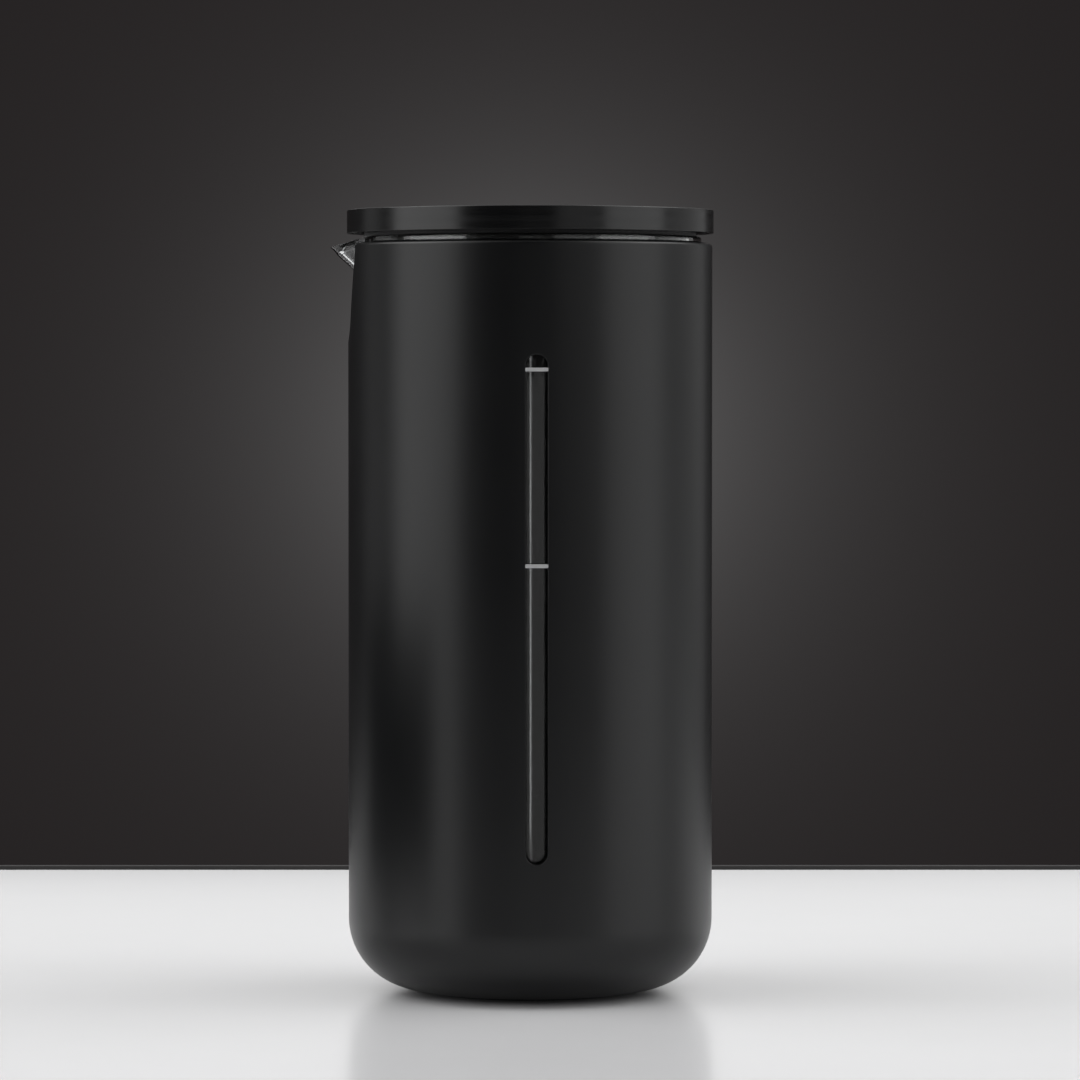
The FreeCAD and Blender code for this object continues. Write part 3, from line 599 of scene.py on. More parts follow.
@dataclass
class Sleeve:
    """The moulded sleeve, with its sight slot, its spout notch and its rounded base.

    The wall is one grid of columns, each an angle from the spout, and rows, each a height. Near the
    notch the rows bend to follow it, and at the slot a ring of its own fills a gap in the grid.
    """

    radius: float
    bottom: float
    top: float
    foot_radius: float
    foot_top: float
    wall: float = 2.7
    corner: float = 15.3
    corner_steps: tuple[int, int] = (20, 14)
    edge: float = 0.9
    lead_in: float = 0.6
    foot_room: float = 0.05
    pocket_edge: float = 0.25
    slot_width: float = 4.7
    slot_low: float = 30.7
    slot_drop: float = 24.1
    slot_edge: float = 0.2
    slot_field: float = 8.0
    slot_margin: float = 6.0
    slot_loops: int = 4
    notch_half_width: float = 10.9
    notch_depth: float = 21.0
    notch_bottom: float = 6.0
    notch_flare: float = 1.6
    notch_edge: float = 0.35
    notch_field: float = 20.0
    notch_margin: float = 7.0
    notch_fade: float = 0.3
    notch_steps: int = 24
    column_counts: tuple[int, ...] = (72, 30, 16, 142)
    row_counts: tuple[int, ...] = (3, 38, 10, 17)
    arc_steps: int = 5
    mark_inset: float = 0.2
    mark_depth: float = 1.2
    mark_edge: float = 0.14
    mark_columns: int = 13

    @classmethod
    def from_frame(cls) -> Sleeve:
        """Reads the sleeve's outer sizes from the CAD nodes."""
        low, high = corners_mm("outer_shell")
        _, foot = corners_mm("foot_pad")
        return cls(radius=high[0], bottom=low[2], top=high[2], foot_radius=foot[0], foot_top=foot[2])

    @property
    def slot_top(self) -> float:
        """Height of the slot's top."""
        return self.top - self.slot_drop

    def columns(self) -> tuple[np.ndarray, slice, slice]:
        """Angles of the grid's columns.

        Returns:
            The angles, the columns of the notch's field and those of the slot's field.
        """
        notch = math.asin(self.notch_field / self.radius)
        slot = math.asin(self.slot_field / self.radius)
        stops = (-notch, notch, QUARTER - slot, QUARTER + slot, TURN - notch)
        angles = stretches(stops, self.column_counts)[:-1]
        across, first, wide, _ = self.column_counts
        return angles, slice(0, across + 1), slice(across + first, across + first + wide + 1)

    def rows(self) -> tuple[np.ndarray, int, tuple[int, int]]:
        """Heights of the wall's rows.

        Returns:
            The heights, the row where the notch's field starts, and the slot's first and last row.
        """
        stops = (
            self.bottom + self.corner,
            self.slot_low - self.slot_margin,
            self.top - self.notch_depth - self.notch_margin,
            self.slot_top + self.slot_margin,
            self.top - self.edge,
        )
        first, notch, last, _ = (int(count) for count in np.cumsum(self.row_counts))
        return stretches(stops, self.row_counts), notch, (first, last)

    def place(
        self,
        angle: np.ndarray,
        height: np.ndarray,
        radius: np.ndarray | float,
        prism: np.ndarray,
        about: float = 0.0,
    ) -> np.ndarray:
        """Points of the wall at any depth.

        With prism 0 a point keeps its angle at every radius. With prism 1 it keeps its distance from
        the plane through the axis at the angle about, so an opening's two sides stay parallel.

        Args:
            angle: angle from the spout, at the outer surface.
            height: height.
            radius: distance from the axis.
            prism: from 0 to 1.
            about: the opening's own angle.

        Returns:
            The points.
        """
        local = angle - about
        across = np.sin(local) * (prism * self.radius + (1 - prism) * radius)
        turned = np.where(prism > 0, np.arcsin(np.clip(across / radius, -1, 1)), local) + about
        radius = np.broadcast_to(radius, turned.shape)
        height = np.broadcast_to(height, turned.shape)
        return np.stack([-radius * np.cos(turned), -radius * np.sin(turned), height], axis=-1)

    def notch_line(self, count: int) -> tuple[np.ndarray, np.ndarray, np.ndarray]:
        """The mouth's line across the notch's field: flat, down one side of the V, and up the other.

        The V's sides touch the bottom circle, so its point lies below the circle's centre by the
        circle's radius over the sine of half the V's angle.

        Args:
            count: how many points.

        Returns:
            The points (across, height), the directions into the material and how much each point
            belongs to the notch, from 0 at the field's edge to 1.
        """
        centre = self.top - self.notch_depth + self.notch_bottom
        rise = self.top - centre
        reach = math.hypot(self.notch_half_width, rise)
        half = math.acos(self.notch_bottom / reach) - math.atan2(rise, self.notch_half_width)
        point = centre - self.notch_bottom / math.sin(half)
        right = [(self.notch_half_width, self.top, self.notch_flare), (self.notch_field, self.top, 0)]
        left = [(-across, height, radius) for across, height, radius in right[::-1]]
        line = resampled(rounded([*left, (0, point, self.notch_bottom), *right], self.notch_steps), count)
        along = np.gradient(line, axis=0)
        along /= np.linalg.norm(along, axis=1, keepdims=True)
        inward = np.stack([along[:, 1], -along[:, 0]], axis=1)
        inward[[0, -1]] = (0, -1)
        belongs = smooth_step((1 - np.abs(np.linspace(-1, 1, count))) / self.notch_fade)
        return line, inward, belongs

    def rim(self, line: np.ndarray, inward: np.ndarray, outer: np.ndarray, inner: np.ndarray) -> list:
        """Rows across an edge of the wall, from the outer surface over the edge to the inner one.

        Both edges are quarter circles: the offset from the edge's line is the radius less its sine
        part, and the depth is the radius less its cosine part.

        Args:
            line: (across, height) of the edge.
            inward: directions from the edge into the material.
            outer: radius of the outer rounding at each point.
            inner: radius of the inner rounding at each point.

        Returns:
            For each row its (across, height) points and its depths.
        """
        sweep = np.linspace(0, QUARTER, self.arc_steps + 1)
        edges = [(outer * (1 - math.sin(turn)), outer * (1 - math.cos(turn))) for turn in sweep]
        edges += [(inner * (1 - math.cos(turn)), self.wall - inner * (1 - math.sin(turn))) for turn in sweep]
        return [(line + inward * offset[:, None], depth) for offset, depth in edges]

    def build(self) -> None:
        """Builds the sleeve: both surfaces, the mouth with its notch, the slot and the base."""
        surface = Surface()
        angles, notch, slot = self.columns()
        heights, notch_row, slot_rows = self.rows()
        count = len(angles)
        angle = np.tile(angles, (len(heights), 1))
        height = np.tile(heights[:, None], (1, count))
        prism = np.zeros_like(angle)

        # the mouth's line and its directions at every column
        mouth = np.stack([self.radius * np.sin(angles), np.full(count, self.top)], axis=1)
        into = np.tile([[0.0, -1.0]], (count, 1))
        share = np.zeros(count)
        mouth[notch], into[notch], share[notch] = self.notch_line(notch.stop)
        outer = self.edge + (self.notch_edge - self.edge) * share
        inner = self.lead_in + (self.notch_edge - self.lead_in) * share
        rows = self.rim(mouth, into, outer, inner)

        # rows of the notch's field run from a level line up to the mouth's own
        step = np.linspace(0, 1, len(heights) - notch_row)[:, None]
        base = self.radius * np.sin(angles[notch])
        goal = rows[0][0][notch]
        across = base + (goal[:, 0] - base) * step
        angle[notch_row:, notch] = np.arcsin(across / self.radius)
        height[notch_row:, notch] = heights[notch_row] + (goal[:, 1] - heights[notch_row]) * step
        prism[notch_row:, notch] = share[notch] * smooth_step(step)

        keep = np.ones((len(heights) - 1, count), bool)
        keep[slot_rows[0] : slot_rows[1], slot.start : slot.stop - 1] = False
        face = surface.add(self.place(angle, height, self.radius, prism))
        back = surface.add(self.place(angle, height, self.radius - self.wall, prism))
        surface.weave(face, wrap=True, keep=keep)
        surface.weave(back[::-1], wrap=True, keep=keep[::-1])

        loops = [face[-1]]
        for spots, depth in rows[1:-1]:
            turned = np.where(share > 0, np.arcsin(np.clip(spots[:, 0] / self.radius, -1, 1)), angles)
            loops.append(surface.add(self.place(turned, spots[:, 1], self.radius - depth, share)))
        loops.append(back[-1])
        surface.weave(np.array(loops), wrap=True)

        self.slot_ring(surface, angles, heights, slot, slot_rows, face, back)
        self.base(surface, angles, face[0], back[0])
        dress(surface.build("sleeve"), SLEEVE_BLACK, Body.SHELL, "outer_shell")

    def slot_ring(
        self,
        surface: Surface,
        angles: np.ndarray,
        heights: np.ndarray,
        slot: slice,
        slot_rows: tuple[int, int],
        face: np.ndarray,
        back: np.ndarray,
    ) -> None:
        """Fills the gap round the slot, and lines the slot itself.

        Each point of the gap's border has a partner on the slot's outline: straight across beside
        the slot, and in the direction from the end circle's centre beyond it. Loops between the two
        are a straight blend.

        Args:
            surface: takes the faces.
            angles: the grid's angles.
            heights: the grid's heights.
            slot: the slot's columns.
            slot_rows: the slot's first and last row.
            face: point numbers of the outer grid.
            back: point numbers of the inner grid.
        """
        low, high = slot_rows
        left, right = slot.start, slot.stop - 1
        columns, rows = np.arange(left, right), np.arange(low, high)
        sides = [(columns, low), (right, rows), (columns[::-1] + 1, high), (left, rows[::-1] + 1)]
        border_j, border_k = np.hstack([np.broadcast_arrays(*side) for side in sides])
        border = np.stack([self.radius * np.sin(angles[border_j] - QUARTER), heights[border_k]], axis=1)

        half = self.slot_width / 2
        ends = (self.slot_low + half, self.slot_top - half)
        centre = np.stack([np.zeros(len(border)), np.clip(border[:, 1], *ends)], axis=1)
        away = border - centre
        away /= np.linalg.norm(away, axis=1, keepdims=True)
        beside = (border[:, 1] > ends[0]) & (border[:, 1] < ends[1])
        away[beside] = np.stack([np.sign(border[beside, 0]), np.zeros(beside.sum())], axis=1)

        edge = np.full(len(border), self.slot_edge)
        rim = self.rim(centre + away * half, away, edge, edge)
        blend = np.linspace(0, 1, self.slot_loops + 2)[1:-1]
        steps = [(border + (rim[0][0] - border) * share, 0.0, share) for share in blend]
        steps += [(spots, depth, 1.0) for spots, depth in rim]
        steps += [(border + (rim[-1][0] - border) * share, self.wall, share) for share in blend[::-1]]
        loops = [face[border_k, border_j]]
        for spots, depth, prism in steps:
            angle = QUARTER + np.arcsin(spots[:, 0] / self.radius)
            shares = np.full(len(spots), prism)
            loops.append(surface.add(self.place(angle, spots[:, 1], self.radius - depth, shares, QUARTER)))
        loops.append(back[border_k, border_j])
        surface.weave(np.array(loops), wrap=True)

    def base(self, surface: Surface, angles: np.ndarray, face: np.ndarray, back: np.ndarray) -> None:
        """Closes the sleeve below: the rounded corners, the flat, and the foot's pocket.

        Both corners turn about one centre. The outer line goes on along the flat and up into the
        pocket; each ends half way in, where a fan closes it.

        Args:
            surface: takes the faces.
            angles: the grid's angles.
            face: point numbers of the outer grid's lowest row.
            back: point numbers of the inner grid's lowest row.
        """
        flat, centre = self.radius - self.corner, self.bottom + self.corner
        pocket, floor = self.foot_radius + self.foot_room, self.bottom + self.wall
        edge = (pocket, self.bottom, self.pocket_edge)
        inset = rounded([(flat, self.bottom, 0), edge, (pocket, self.foot_top, 0)])
        outside = np.vstack([inset[1:], [[pocket / 2, self.foot_top]]])
        inside = np.array([[flat / 2, floor]])
        for first, radius, steps, tail, order in (
            (face, self.corner, self.corner_steps[0], outside, -1),
            (back, self.corner - self.wall, self.corner_steps[1], inside, 1),
        ):
            turn = np.linspace(0, QUARTER, steps + 1)[1:]
            arc = np.stack([flat + radius * np.cos(turn), centre - radius * np.sin(turn)], axis=1)
            line = np.vstack([arc, tail])
            chain = np.vstack([first[None], surface.add(spun(line[:, 0], line[:, 1], angles))])
            surface.weave(chain[::order], wrap=True)
            surface.fan(chain[-1][::order], (0, 0, line[-1, 1]))

    def mark(self, node: str) -> None:
        """Builds a level mark: a bar that follows the sleeve's surface across the slot.

        Its section is a rounded rectangle of depth and height, carried along an arc about the axis.

        Args:
            node: the mark's CAD node, which gives its place.
        """
        low, high = corners_mm(node)
        face, back = -low[1], -low[1] - self.mark_depth
        corners = ((face, low[2]), (face, high[2]), (back, high[2]), (back, low[2]))
        section = rounded([(*corner, self.mark_edge) for corner in corners], steps=3)
        reach = math.asin((high[0] - self.mark_inset) / face)
        angles = np.linspace(QUARTER - reach, QUARTER + reach, self.mark_columns)
        points = spun(section[:, 0], section[:, 1], angles)
        surface = Surface()
        numbers = surface.add(points)
        surface.weave(np.vstack([numbers, numbers[:1]]), wrap=False)
        ends = points.mean(axis=0)
        surface.fan(numbers[:, 0], ends[0])
        surface.fan(numbers[::-1, -1], ends[-1])
        dress(surface.build(node.replace("level_mark", "mark")), MARK_GREY, Body.SHELL, node)


@dataclass
class Beaker:
    """The glass beaker: a beaded rim, a pulled spout and a heavy round-cornered floor.

    One outline runs from the middle of the underside up the outside, over the rim and down to the
    middle of the floor. The spout pushes it out: in plan the spout is a hyperbola, straight sided
    with a round tip, whose tip moves out with height, and the wall takes the further of the two.
    The spout's root, start, ease and retreat span are shares of its rise, and its field's angles
    are in radians.
    """

    bead_radius: float
    bottom: float
    rim: float
    reach: float
    bead: float = 0.9
    wall: float = 2.2
    floor: float = 3.2
    inner_corner: float = 12.0
    neck: float = 162.4
    spout_rise: float = 14.5
    spout_root: float = 0.376
    spout_ease: float = 0.06
    spout_retreat: float = 3.0
    spout_slope: float = 0.92
    spout_tip: float = 2.6
    spout_wall: float = 1.9
    spout_blend: float = 0.55
    spout_droop: float = 2.5
    spout_start: float = 0.1
    retreat_span: float = 0.35
    field_angle: float = 0.62
    field_fade: float = 0.12
    lip_depth: float = 1.4
    inner_lag: float = 0.8
    corner_steps: int = 16
    wall_counts: tuple[int, ...] = (13, 21, 23, 13)
    column_counts: tuple[int, int] = (96, 132)

    @classmethod
    def from_frame(cls) -> Beaker:
        """Reads the beaker's outer sizes from the CAD node."""
        low, high = corners_mm("glass_beaker")
        return cls(bead_radius=high[0], bottom=low[2], rim=high[2], reach=-low[0])

    def outline(self) -> tuple[np.ndarray, np.ndarray]:
        """Rows of the beaker.

        Returns:
            The outline (radius, height) and, for each row, 0 on the outside and 1 on the inside.
        """
        outer = self.bead_radius - self.bead
        inner = outer - self.wall
        corner = self.inner_corner + self.wall
        flat, floor = outer - corner, self.bottom + self.floor
        zone = self.rim - self.spout_rise
        turn = np.linspace(0, QUARTER, self.corner_steps + 1)
        rise, shrink = 1 - np.cos(turn), 1 - np.sin(turn)
        bowl = np.stack([flat + corner * np.sin(turn), self.bottom + corner * rise], axis=1)
        well = np.stack([inner - self.inner_corner * rise, floor + self.inner_corner * shrink], axis=1)
        neck, lip = self.neck - self.bead, self.rim - self.lip_depth
        rim = rounded(
            [
                (outer, neck - 0.01, 0),
                (outer, neck + self.bead / 10, 0.5),
                (self.bead_radius, self.neck, 0.35),
                (self.bead_radius, self.rim, 0.55),
                (inner, self.rim, 0.7),
                (inner, lip, 0),
            ]
        )
        climb, lift, sink, drop = self.wall_counts
        up = stretches((bowl[-1, 1], zone, neck), (climb, lift))[1:]
        down = stretches((lip, zone + self.inner_lag, well[0, 1]), (sink, drop))[1:-1]
        rows = np.vstack(
            [
                [[0.0, self.bottom], [flat / 2, self.bottom]],
                bowl,
                np.stack([np.full_like(up, outer), up], axis=1),
                rim[1:],
                np.stack([np.full_like(down, inner), down], axis=1),
                well,
                [[(inner - self.inner_corner) / 2, floor], [0.0, floor]],
            ]
        )
        top = np.argmax(rows[:, 1] >= self.rim - TINY)
        crossing = np.clip((self.bead_radius - rows[:, 0]) / (self.bead_radius - inner), 0, 1)
        return rows, np.where(np.arange(len(rows)) < top, 0.0, crossing)

    def columns(self) -> np.ndarray:
        """Angles of the columns, close together at the spout."""
        stops = (-self.field_angle, self.field_angle, TURN - self.field_angle)
        return stretches(stops, self.column_counts)[:-1]

    def build(self) -> None:
        """Builds the beaker as one closed wall of glass.

        With height the spout's tip leaves the wall on a soft ramp, and in plan it falls back on a
        hyperbola. A soft ramp of what the spout is ahead of the round wall pushes the wall out.
        """
        rows, inside = self.outline()
        angles = self.columns()
        radius, height, inside = rows[1:-1, 0][:, None], rows[1:-1, 1][:, None], inside[1:-1][:, None]
        across, plain = radius * np.sin(angles), radius * np.cos(angles)

        share = np.clip((height - self.rim + self.spout_rise) / self.spout_rise, 0, 1)
        outer = self.bead_radius - self.bead
        swell = soft_ramp((share - self.spout_root) / (1 - self.spout_root), self.spout_ease)
        tip = outer + (self.reach - outer) * swell - self.spout_wall * inside
        tip = tip - (1 - smooth_step((share - self.spout_start) / self.retreat_span)) * self.spout_retreat
        bend = self.spout_slope * (np.sqrt(across**2 + self.spout_tip**2) - self.spout_tip)
        spout = np.where(np.cos(angles) > 0, tip - bend, FAR_BACK)
        near = smooth_step((self.field_angle - np.abs(angles)) / self.field_fade)
        push = soft_ramp(spout - plain, self.spout_blend) * near * smooth_step(share / self.spout_start)
        drooped = height - self.spout_droop * np.clip(push / (self.reach - outer), 0, 1)

        surface = Surface()
        numbers = surface.add(np.stack([-plain - push, -across, drooped], axis=-1))
        surface.weave(numbers, wrap=True)
        surface.fan(numbers[0][::-1], (0, 0, rows[0, 1]))
        surface.fan(numbers[-1], (0, 0, rows[-1, 1]))
        dress(surface.build("beaker"), CLEAR_GLASS, Body.BEAKER, "glass_beaker")


@dataclass
class Turning:
    """A turned or moulded disc or rod: an outline with rounded corners, spun about the axis.

    The corners are (radius, height, rounding), with the material on their left, so up on the
    outside. They start and end on the axis, where fans close the surface.
    """

    name: str
    finish: Finish
    node: str
    columns: int
    corners: list[tuple[float, float, float]]

    def build(self) -> None:
        """Spins the outline and dresses the piece, which moves with the plunger."""
        surface = Surface()
        outline = rounded(self.corners)
        angles = np.arange(self.columns) * TURN / self.columns
        numbers = surface.add(spun(outline[1:-1, 0], outline[1:-1, 1], angles))
        surface.weave(numbers, wrap=True)
        surface.fan(numbers[0][::-1], (0, 0, outline[0, 1]))
        surface.fan(numbers[-1], (0, 0, outline[-1, 1]))
        dress(surface.build(self.name), self.finish, Body.PLUNGER, self.node)


@dataclass
class Plunger:
    """The disc and its core, and the rod with its threaded ends."""

    skin: float = 0.9
    glue: float = 0.1
    bevel: float = 0.28
    stud: float = 2.5
    stud_edge: float = 0.4
    boss: float = 8.0
    insert_room: float = 0.05
    lid_room: float = 0.4
    lid_rise: float = 0.2

    def build(self) -> None:
        """Builds the disc, its core and the rod from their CAD boxes."""
        low, high = corners_mm("disc_cover")
        core_low, core_high = corners_mm("disc_core")
        rod_low, rod_high = corners_mm("plunger_rod")
        _, insert = corners_mm("rod_insert")
        _, lid = corners_mm("inner_lid")
        _, hub = corners_mm("filter_hub")
        under, inside = high[2] - self.skin, high[0] - self.skin
        cap = [
            (0, under, 0), (inside, under, 0.2), (inside, low[2], 0.15), (high[0], low[2], 0.06),
            (high[0], high[2], self.bevel), (0, high[2], 0),
        ]
        rim, base, edge = low[2] + self.glue, core_low[2], core_high[0]
        recess, ceiling = lid[0] + self.lid_room, lid[2] + self.lid_rise
        pocket, depth = insert[0] + self.insert_room, insert[2] + self.insert_room
        plate = [
            (0, depth, 0), (pocket, depth, 0), (pocket, base, 0.15), (self.boss, base, 0.4),
            (self.boss, ceiling, 0.6), (recess, ceiling, 0.4), (recess, rim, 0.3), (edge, rim, 0.2),
            (edge, core_high[2], 0.1), (0, core_high[2], 0),
        ]
        thick, stud = rod_high[0], self.stud
        rod = [
            (0, rod_low[2], 0), (stud, rod_low[2], self.stud_edge), (stud, hub[2], 0), (thick, hub[2], 0.15),
            (thick, base, 0.15), (stud, base, 0), (stud, rod_high[2], self.stud_edge), (0, rod_high[2], 0),
        ]
        Turning("disc_cap", DISC_BLACK, "disc_cover", 256, cap).build()
        Turning("disc_plate", LID_BLACK, "disc_core", 192, plate).build()
        Turning("rod", ROD_STEEL, "plunger_rod", 64, rod).build()


@dataclass
class FilterStack:
    """The woven filter and the coil spring that presses its rim to the glass."""

    pitch: float = 1.0
    wire: float = 0.15
    weave: float = 0.15
    lift: float = 0.2
    brim: float = 0.45
    fall: float = 0.5
    cloth_sides: int = 4
    wave_steps: int = 4
    hem_wire: float = 0.2
    hem_steps: int = 160
    hem_sides: int = 8
    coil_wire: float = 0.25
    coil_turns: int = 150
    coil_steps: int = 14
    coil_sides: int = 6

    def line(self) -> np.ndarray:
        """Section of the filter's cloth: flat, a step down under the coil and an upright rim."""
        low, high = corners_mm("filter_mesh")
        _, plate = corners_mm("perforated_plate")
        flat, under = plate[2] + self.lift, low[2] + self.lift
        rim, step = high[0] - self.hem_wire, plate[0] + self.brim
        top = high[2] - self.hem_wire / 2
        drop = [(step, flat, 0.4), (step + self.fall, under, 0.4)]
        return rounded([(0, flat, 0), *drop, (rim, under, 0.6), (rim, top, 0)])

    def cloth(self) -> None:
        """Builds the woven wire cloth and the hem at its rim.

        Wires run both ways at one pitch, each a cosine wave that goes over one and under the next,
        and the flat cloth is then bent to the section: a point's distance from the middle is its
        length along the section, and the wave stands square to it.
        """
        line = self.line()
        along = distances(line)
        slope = np.gradient(line, along, axis=0)
        reach = along[-1] - self.wire
        surface = Surface()
        wires = math.ceil(reach / self.pitch - 0.5)
        for order in range(-wires, wires):
            offset = (order + 0.5) * self.pitch
            half = math.sqrt(reach**2 - offset**2)
            run = np.linspace(-half, half, int(half / self.pitch * self.wave_steps) + 2)
            for crossing in (False, True):
                lift = self.weave * np.cos(math.pi * (run / self.pitch + order + crossing - 0.5))
                spot = np.stack([np.full_like(run, offset), run], axis=1)
                spot = spot[:, ::-1] if crossing else spot
                away = np.linalg.norm(spot, axis=1)
                radius = np.interp(away, along, line[:, 0]) - lift * np.interp(away, along, slope[:, 1])
                height = np.interp(away, along, line[:, 1]) + lift * np.interp(away, along, slope[:, 0])
                flat = spot / away[:, None] * radius[:, None]
                tube(surface, np.column_stack([flat, height]), self.wire, self.cloth_sides)
        turn = np.arange(self.hem_steps) * TURN / self.hem_steps
        rim, top = line[-1]
        hem = np.stack([rim * np.cos(turn), rim * np.sin(turn), np.full(self.hem_steps, top)], axis=1)
        tube(surface, hem, self.hem_wire, self.hem_sides, closed=True)
        dress(surface.build("filter_cloth", steady=False), MESH_STEEL, Body.PLUNGER, "filter_mesh")

    def coil(self) -> None:
        """Builds the coil spring, whose wire circles the ring's line as it goes round the axis."""
        low, high = corners_mm("spring_coil")
        outside, middle = (high[2] - low[2]) / 2, (high[2] + low[2]) / 2
        steps = self.coil_turns * self.coil_steps
        around = np.arange(steps) * TURN / steps
        twist = around * self.coil_turns
        throw = outside - self.coil_wire
        radius = high[0] - outside + throw * np.cos(twist)
        height = middle + throw * np.sin(twist)
        surface = Surface()
        path = np.stack([radius * np.cos(around), radius * np.sin(around), height], axis=1)
        tube(surface, path, self.coil_wire, self.coil_sides, closed=True)
        dress(surface.build("coil_spring", steady=False), SPRING_STEEL, Body.PLUNGER, "spring_coil")


KEPT_NODES = {
    "foot_pad": SILICONE_BLACK,
    "base_cushion": SILICONE_GREY,
    "lower_band": SILICONE_GREY,
    "upper_band": SILICONE_GREY,
    "lid_seat_ring": SILICONE_BLACK,
    "inner_lid": LID_BLACK,
    "rod_bush": BUSH_NATURAL,
    "bush_retainer": SPRING_STEEL,
    "rod_insert": INSERT_BRASS,
    "filter_hub": FILTER_STEEL,
    "spring_plate": FILTER_STEEL,
    "perforated_plate": FILTER_STEEL,
    "hub_nut": FILTER_STEEL,
}


# ------------------------------------------------------------------ studio
@dataclass(frozen=True)
class Panel:
    """A soft light panel that faces the press.

    Its place is an angle round the press from the front, in degrees and positive to the right, and
    a distance and a height in metres. It is aimed at the axis, at a height of its own.
    """

    name: str
    angle: float
    distance: float
    height: float
    width: float
    tall: float
    radiance: float
    aim: float = 0.085

    def build(self, mirror: bpy.types.Object | None = None) -> None:
        """Makes the light; its power is its area times pi times its radiance.

        Args:
            mirror: the only object that it lights, and that only in its shine; if left out, all.
        """
        light = bpy.data.lights.new(self.name, "AREA")
        light.shape = "RECTANGLE"
        light.size, light.size_y = self.width, self.tall
        light.energy = self.radiance * self.width * self.tall * math.pi
        lamp = bpy.data.objects.new(self.name, light)
        turn = math.radians(self.angle)
        spot = Vector((math.sin(turn) * self.distance, -math.cos(turn) * self.distance, self.height))
        facing = (Vector((0, 0, self.aim)) - spot).to_track_quat("-Z", "Y")
        lamp.matrix_world = Matrix.LocRotScale(spot, facing, None)
        lamp.visible_camera = False
        if mirror is not None:
            lamp.visible_diffuse = False
            lamp.light_linking.receiver_collection = bpy.data.collections.new(f"{self.name}_mirror")
            lamp.light_linking.receiver_collection.objects.link(mirror)
        bpy.context.scene.collection.objects.link(lamp)


PANELS = (
    Panel("left_box", -71, 1.25, 0.75, 1.20, 1.60, 1.85, aim=0.55),
    Panel("left_rear_box", -118, 1.25, 0.75, 0.45, 1.60, 0.30, aim=0.55),
    Panel("right_box", 67, 1.25, 0.75, 1.10, 1.60, 1.46, aim=0.55),
    Panel("right_rear_box", 116, 1.25, 0.75, 1.15, 1.60, 0.46, aim=0.55),
    Panel("front_right_fill", 27, 1.8, 0.75, 0.86, 1.50, 0.45, aim=0.55),
    Panel("front_card", -1, 1.5, 0.013, 0.46, 0.246, 0.32, aim=0.013),
    Panel("front_strip", -1.6, 1.45, 0.02, 0.044, 0.30, 0.52, aim=0.02),
    Panel("overhead", 180, 0.10, 1.40, 1.10, 1.10, 1.25),
    Panel("high_left", -100, 0.85, 1.15, 0.90, 1.00, 2.90),
    Panel("high_right", 100, 0.85, 1.15, 0.90, 1.00, 2.90),
    Panel("rear_fill", 180, 1.7, 1.0, 1.6, 0.7, 0.5),
)
TABLE_GLOW = Panel("table_glow", 180, 0.36, 0.07, 2.4, 0.12, 0.78, aim=0.07)


@dataclass(frozen=True)
class DarkCard:
    """A small black card beside the press, seen only in shine, with three edges faded; in metres."""

    place: float = -0.122
    front: float = -0.088
    front_fade: float = 0.010
    back: float = 0.045
    low: float = 0.008
    low_fade: float = 0.014
    high: float = 0.090
    high_fade: float = 0.024
    black: float = 0.001

    def build(self) -> None:
        """Makes the card as a thin upright sheet that faces the press."""
        across, up = np.meshgrid([self.front, self.back], [self.low, self.high])
        surface = Surface()
        corners = np.stack([np.full_like(across, self.place), across, up], axis=-1) / MM
        surface.weave(surface.add(corners), wrap=False)
        card = surface.build("dark_card")
        card.data.materials.append(self.paint())
        card.visible_camera = card.visible_diffuse = card.visible_transmission = card.visible_shadow = False

    def paint(self) -> bpy.types.Material:
        """Black without shine, fading to clear at the card's foot, top and front edge."""
        made, wire, shader = new_material("card_black")
        place = wire.node("ShaderNodeSeparateXYZ", Vector=wire.place()).outputs
        foot = wire.step(place["Z"], self.low, self.low + self.low_fade)
        top = wire.step(place["Z"], self.high, self.high - self.high_fade)
        front = wire.step(place["Y"], self.front, self.front + self.front_fade)
        share = wire.maths("MULTIPLY", wire.maths("MULTIPLY", foot, top), front)
        black = (self.black, self.black, self.black, 1)
        wire.fill(shader, Base_Color=black, Specular_IOR_Level=0.0, Alpha=share)
        return made


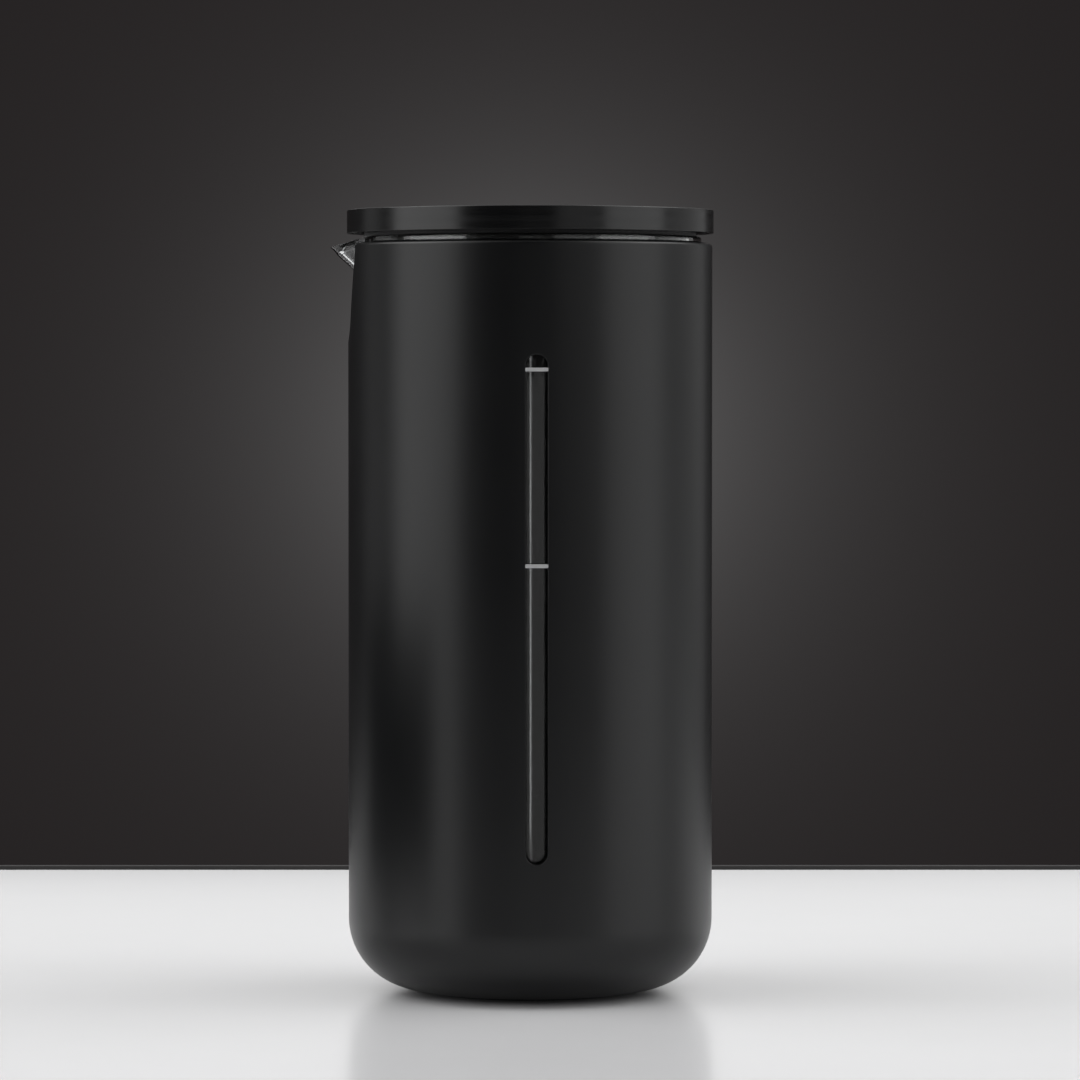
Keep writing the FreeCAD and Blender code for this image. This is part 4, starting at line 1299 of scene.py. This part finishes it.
@dataclass
class Studio:
    """The pale table, the rail, the lights, the dark backdrop and the camera.

    Lengths are in metres, but the lens, its sensor and the paint's specks are in millimetres.
    """

    camera_angle: float = -2.0
    camera_distance: float = 1.159
    camera_height: float = 0.1344
    camera_pitch: float = 0.0315
    lens: float = 177.8
    sensor: float = 36.0
    shift: float = 0.00902
    clip: tuple[float, float] = (0.05, 20.0)
    table_back: float = 0.280
    table_front: float = 0.33
    table_side: float = 1.15
    table_edge: float = 0.002
    table_colour: tuple[float, float, float] = (0.72, 0.72, 0.73)
    table_mottle: float = 0.97
    table_roughness: float = 0.22
    table_specular: float = 0.3
    skirt: float = 0.030
    pool_grey: float = 0.105
    pool_size: float = 0.0015
    pool_drop: float = 0.010
    dark_grey: tuple[float, float, float] = (0.0175, 0.0150, 0.0152)
    room_grey: float = 0.020
    room_span: tuple[float, float] = (0.04, 0.3)
    rail_gap: float = 0.0060
    rail_depth: float = 0.0020
    rail_height: float = 0.0004
    rail_edge: float = 0.0002
    rail_colours: tuple[tuple[float, ...], ...] = ((0.034, 0.033, 0.033), (0.050, 0.048, 0.048))
    rail_roughness: float = 0.6
    speck: float = 2.0

    @property
    def turn(self) -> float:
        """The camera's angle round the press, in radians."""
        return math.radians(self.camera_angle)

    def board(self, name: str, corners: Sequence[tuple[float, float, float]], steps: int) -> bpy.types.Object:
        """Long sheet square to the camera.

        Its section is carried across from side to side and then turned by the camera's angle.

        Args:
            name: the sheet's name.
            corners: (back, up, rounding) of the section's corners.
            steps: how many spans a rounding has.

        Returns:
            The new object.
        """
        line = rounded(np.array(corners) / MM, steps)
        across, back = np.array([[-self.table_side, self.table_side]]) / MM, line[:, :1]
        x = across * math.cos(self.turn) - back * math.sin(self.turn)
        y = across * math.sin(self.turn) + back * math.cos(self.turn)
        surface = Surface()
        surface.weave(surface.add(np.stack(np.broadcast_arrays(x, y, line[:, 1:]), axis=-1)), wrap=False)
        return surface.build(name)

    def paint(
        self, board: bpy.types.Object, colours: Sequence, roughness: float, specular: float = 0.5
    ) -> None:
        """Paints a board, mottled between two colours, and marks it as part of the stage."""
        made, wire, shader = new_material(f"{board.name}_paint")
        speck = effect(wire, Effect.GRAIN, Size_mm=self.speck)
        tint = wire.tint(*colours, speck.outputs["Shade"])
        wire.fill(shader, Base_Color=tint, Roughness=roughness, Specular_IOR_Level=specular)
        board.data.materials.append(made)

    def table(self) -> bpy.types.Object:
        """Makes the table: a thick slab with a rounded back edge, and a faintly mottled top."""
        back = self.table_back
        corners = [(-self.table_front, 0, 0), (back, 0, self.table_edge), (back, -self.skirt, 0)]
        slab = self.board("table", corners, steps=4)
        other = [shade * self.table_mottle for shade in self.table_colour]
        self.paint(slab, (self.table_colour, other), self.table_roughness, self.table_specular)
        return slab

    def rail(self) -> None:
        """Makes the thin dark rail that stands just behind the table and a hair above it."""
        front = self.table_back + self.rail_gap
        back, top, edge = front + self.rail_depth, self.rail_height, self.rail_edge
        corners = [(front, -self.skirt, 0), (front, top, edge), (back, top, edge), (back, -self.skirt, 0)]
        self.paint(self.board("table_rail", corners, steps=5), self.rail_colours, self.rail_roughness)

    def backdrop(self) -> None:
        """Colours the world: a dark warm wall, with a paler neutral pool of light behind the press.

        The pool's light is its strength over the square of one plus the angle's measure in pool
        sizes. That measure is one less the cosine of the angle from the camera's line. Away from
        the wall the room is a little lighter.
        """
        world = bpy.data.worlds.new("studio")
        bpy.context.scene.world = world
        world.use_nodes = True
        wire = Wire(world.node_tree)
        ray = wire.node("ShaderNodeTexCoord").outputs["Generated"]
        middle = Vector((-math.sin(self.turn), math.cos(self.turn), -self.pool_drop)).normalized()
        angle = wire.maths("SUBTRACT", 1.0, wire.maths("DOT_PRODUCT", ray, middle, kind=VECTOR_MATH))
        away = wire.maths("ADD", wire.maths("DIVIDE", angle, self.pool_size), 1.0)
        pool = wire.maths("DIVIDE", self.pool_grey, wire.maths("POWER", away, 2.0))
        room = wire.step(angle, *self.room_span, self.room_grey)
        light = wire.maths("ADD", self.dark_grey, wire.maths("ADD", pool, room), kind=VECTOR_MATH)
        wire.fill(world.node_tree.nodes["Background"], Color=light, Strength=1.0)

    def camera(self) -> None:
        """Sets the camera at the viewing angle."""
        data = bpy.data.cameras.new("camera")
        data.lens, data.sensor_width, data.shift_x = self.lens, self.sensor, self.shift
        data.clip_start, data.clip_end = self.clip
        made = bpy.data.objects.new("camera", data)
        x, y = math.sin(self.turn) * self.camera_distance, -math.cos(self.turn) * self.camera_distance
        made.location = (x, y, self.camera_height)
        made.rotation_euler = (QUARTER - self.camera_pitch, 0, self.turn)
        bpy.context.scene.collection.objects.link(made)
        bpy.context.scene.camera = made

    def build(self) -> None:
        """Makes the table, the rail, the card, the lights, the backdrop and the camera."""
        TABLE_GLOW.build(self.table())
        self.rail()
        DarkCard().build()
        for panel in PANELS:
            panel.build()
        self.backdrop()
        self.camera()
        bpy.context.scene.view_settings.view_transform = "Standard"


def plain(bounds: tuple[Vector, Vector]) -> list[list[float]]:
    """A box as plain lists of numbers."""
    return [[float(value) for value in corner] for corner in bounds]


def main() -> None:
    """Loads the frame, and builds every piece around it."""
    logging.basicConfig(level=logging.INFO, format="%(name)s: %(message)s")
    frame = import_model()
    sleeve = Sleeve.from_frame()
    sleeve.build()
    sleeve.mark("level_mark_300")
    sleeve.mark("level_mark_450")
    Beaker.from_frame().build()
    Plunger().build()
    stack = FilterStack()
    stack.cloth()
    stack.coil()
    for node, finish in KEPT_NODES.items():
        redress(frame, node, finish)
    Studio().build()


if __name__ == "__main__":
    main()
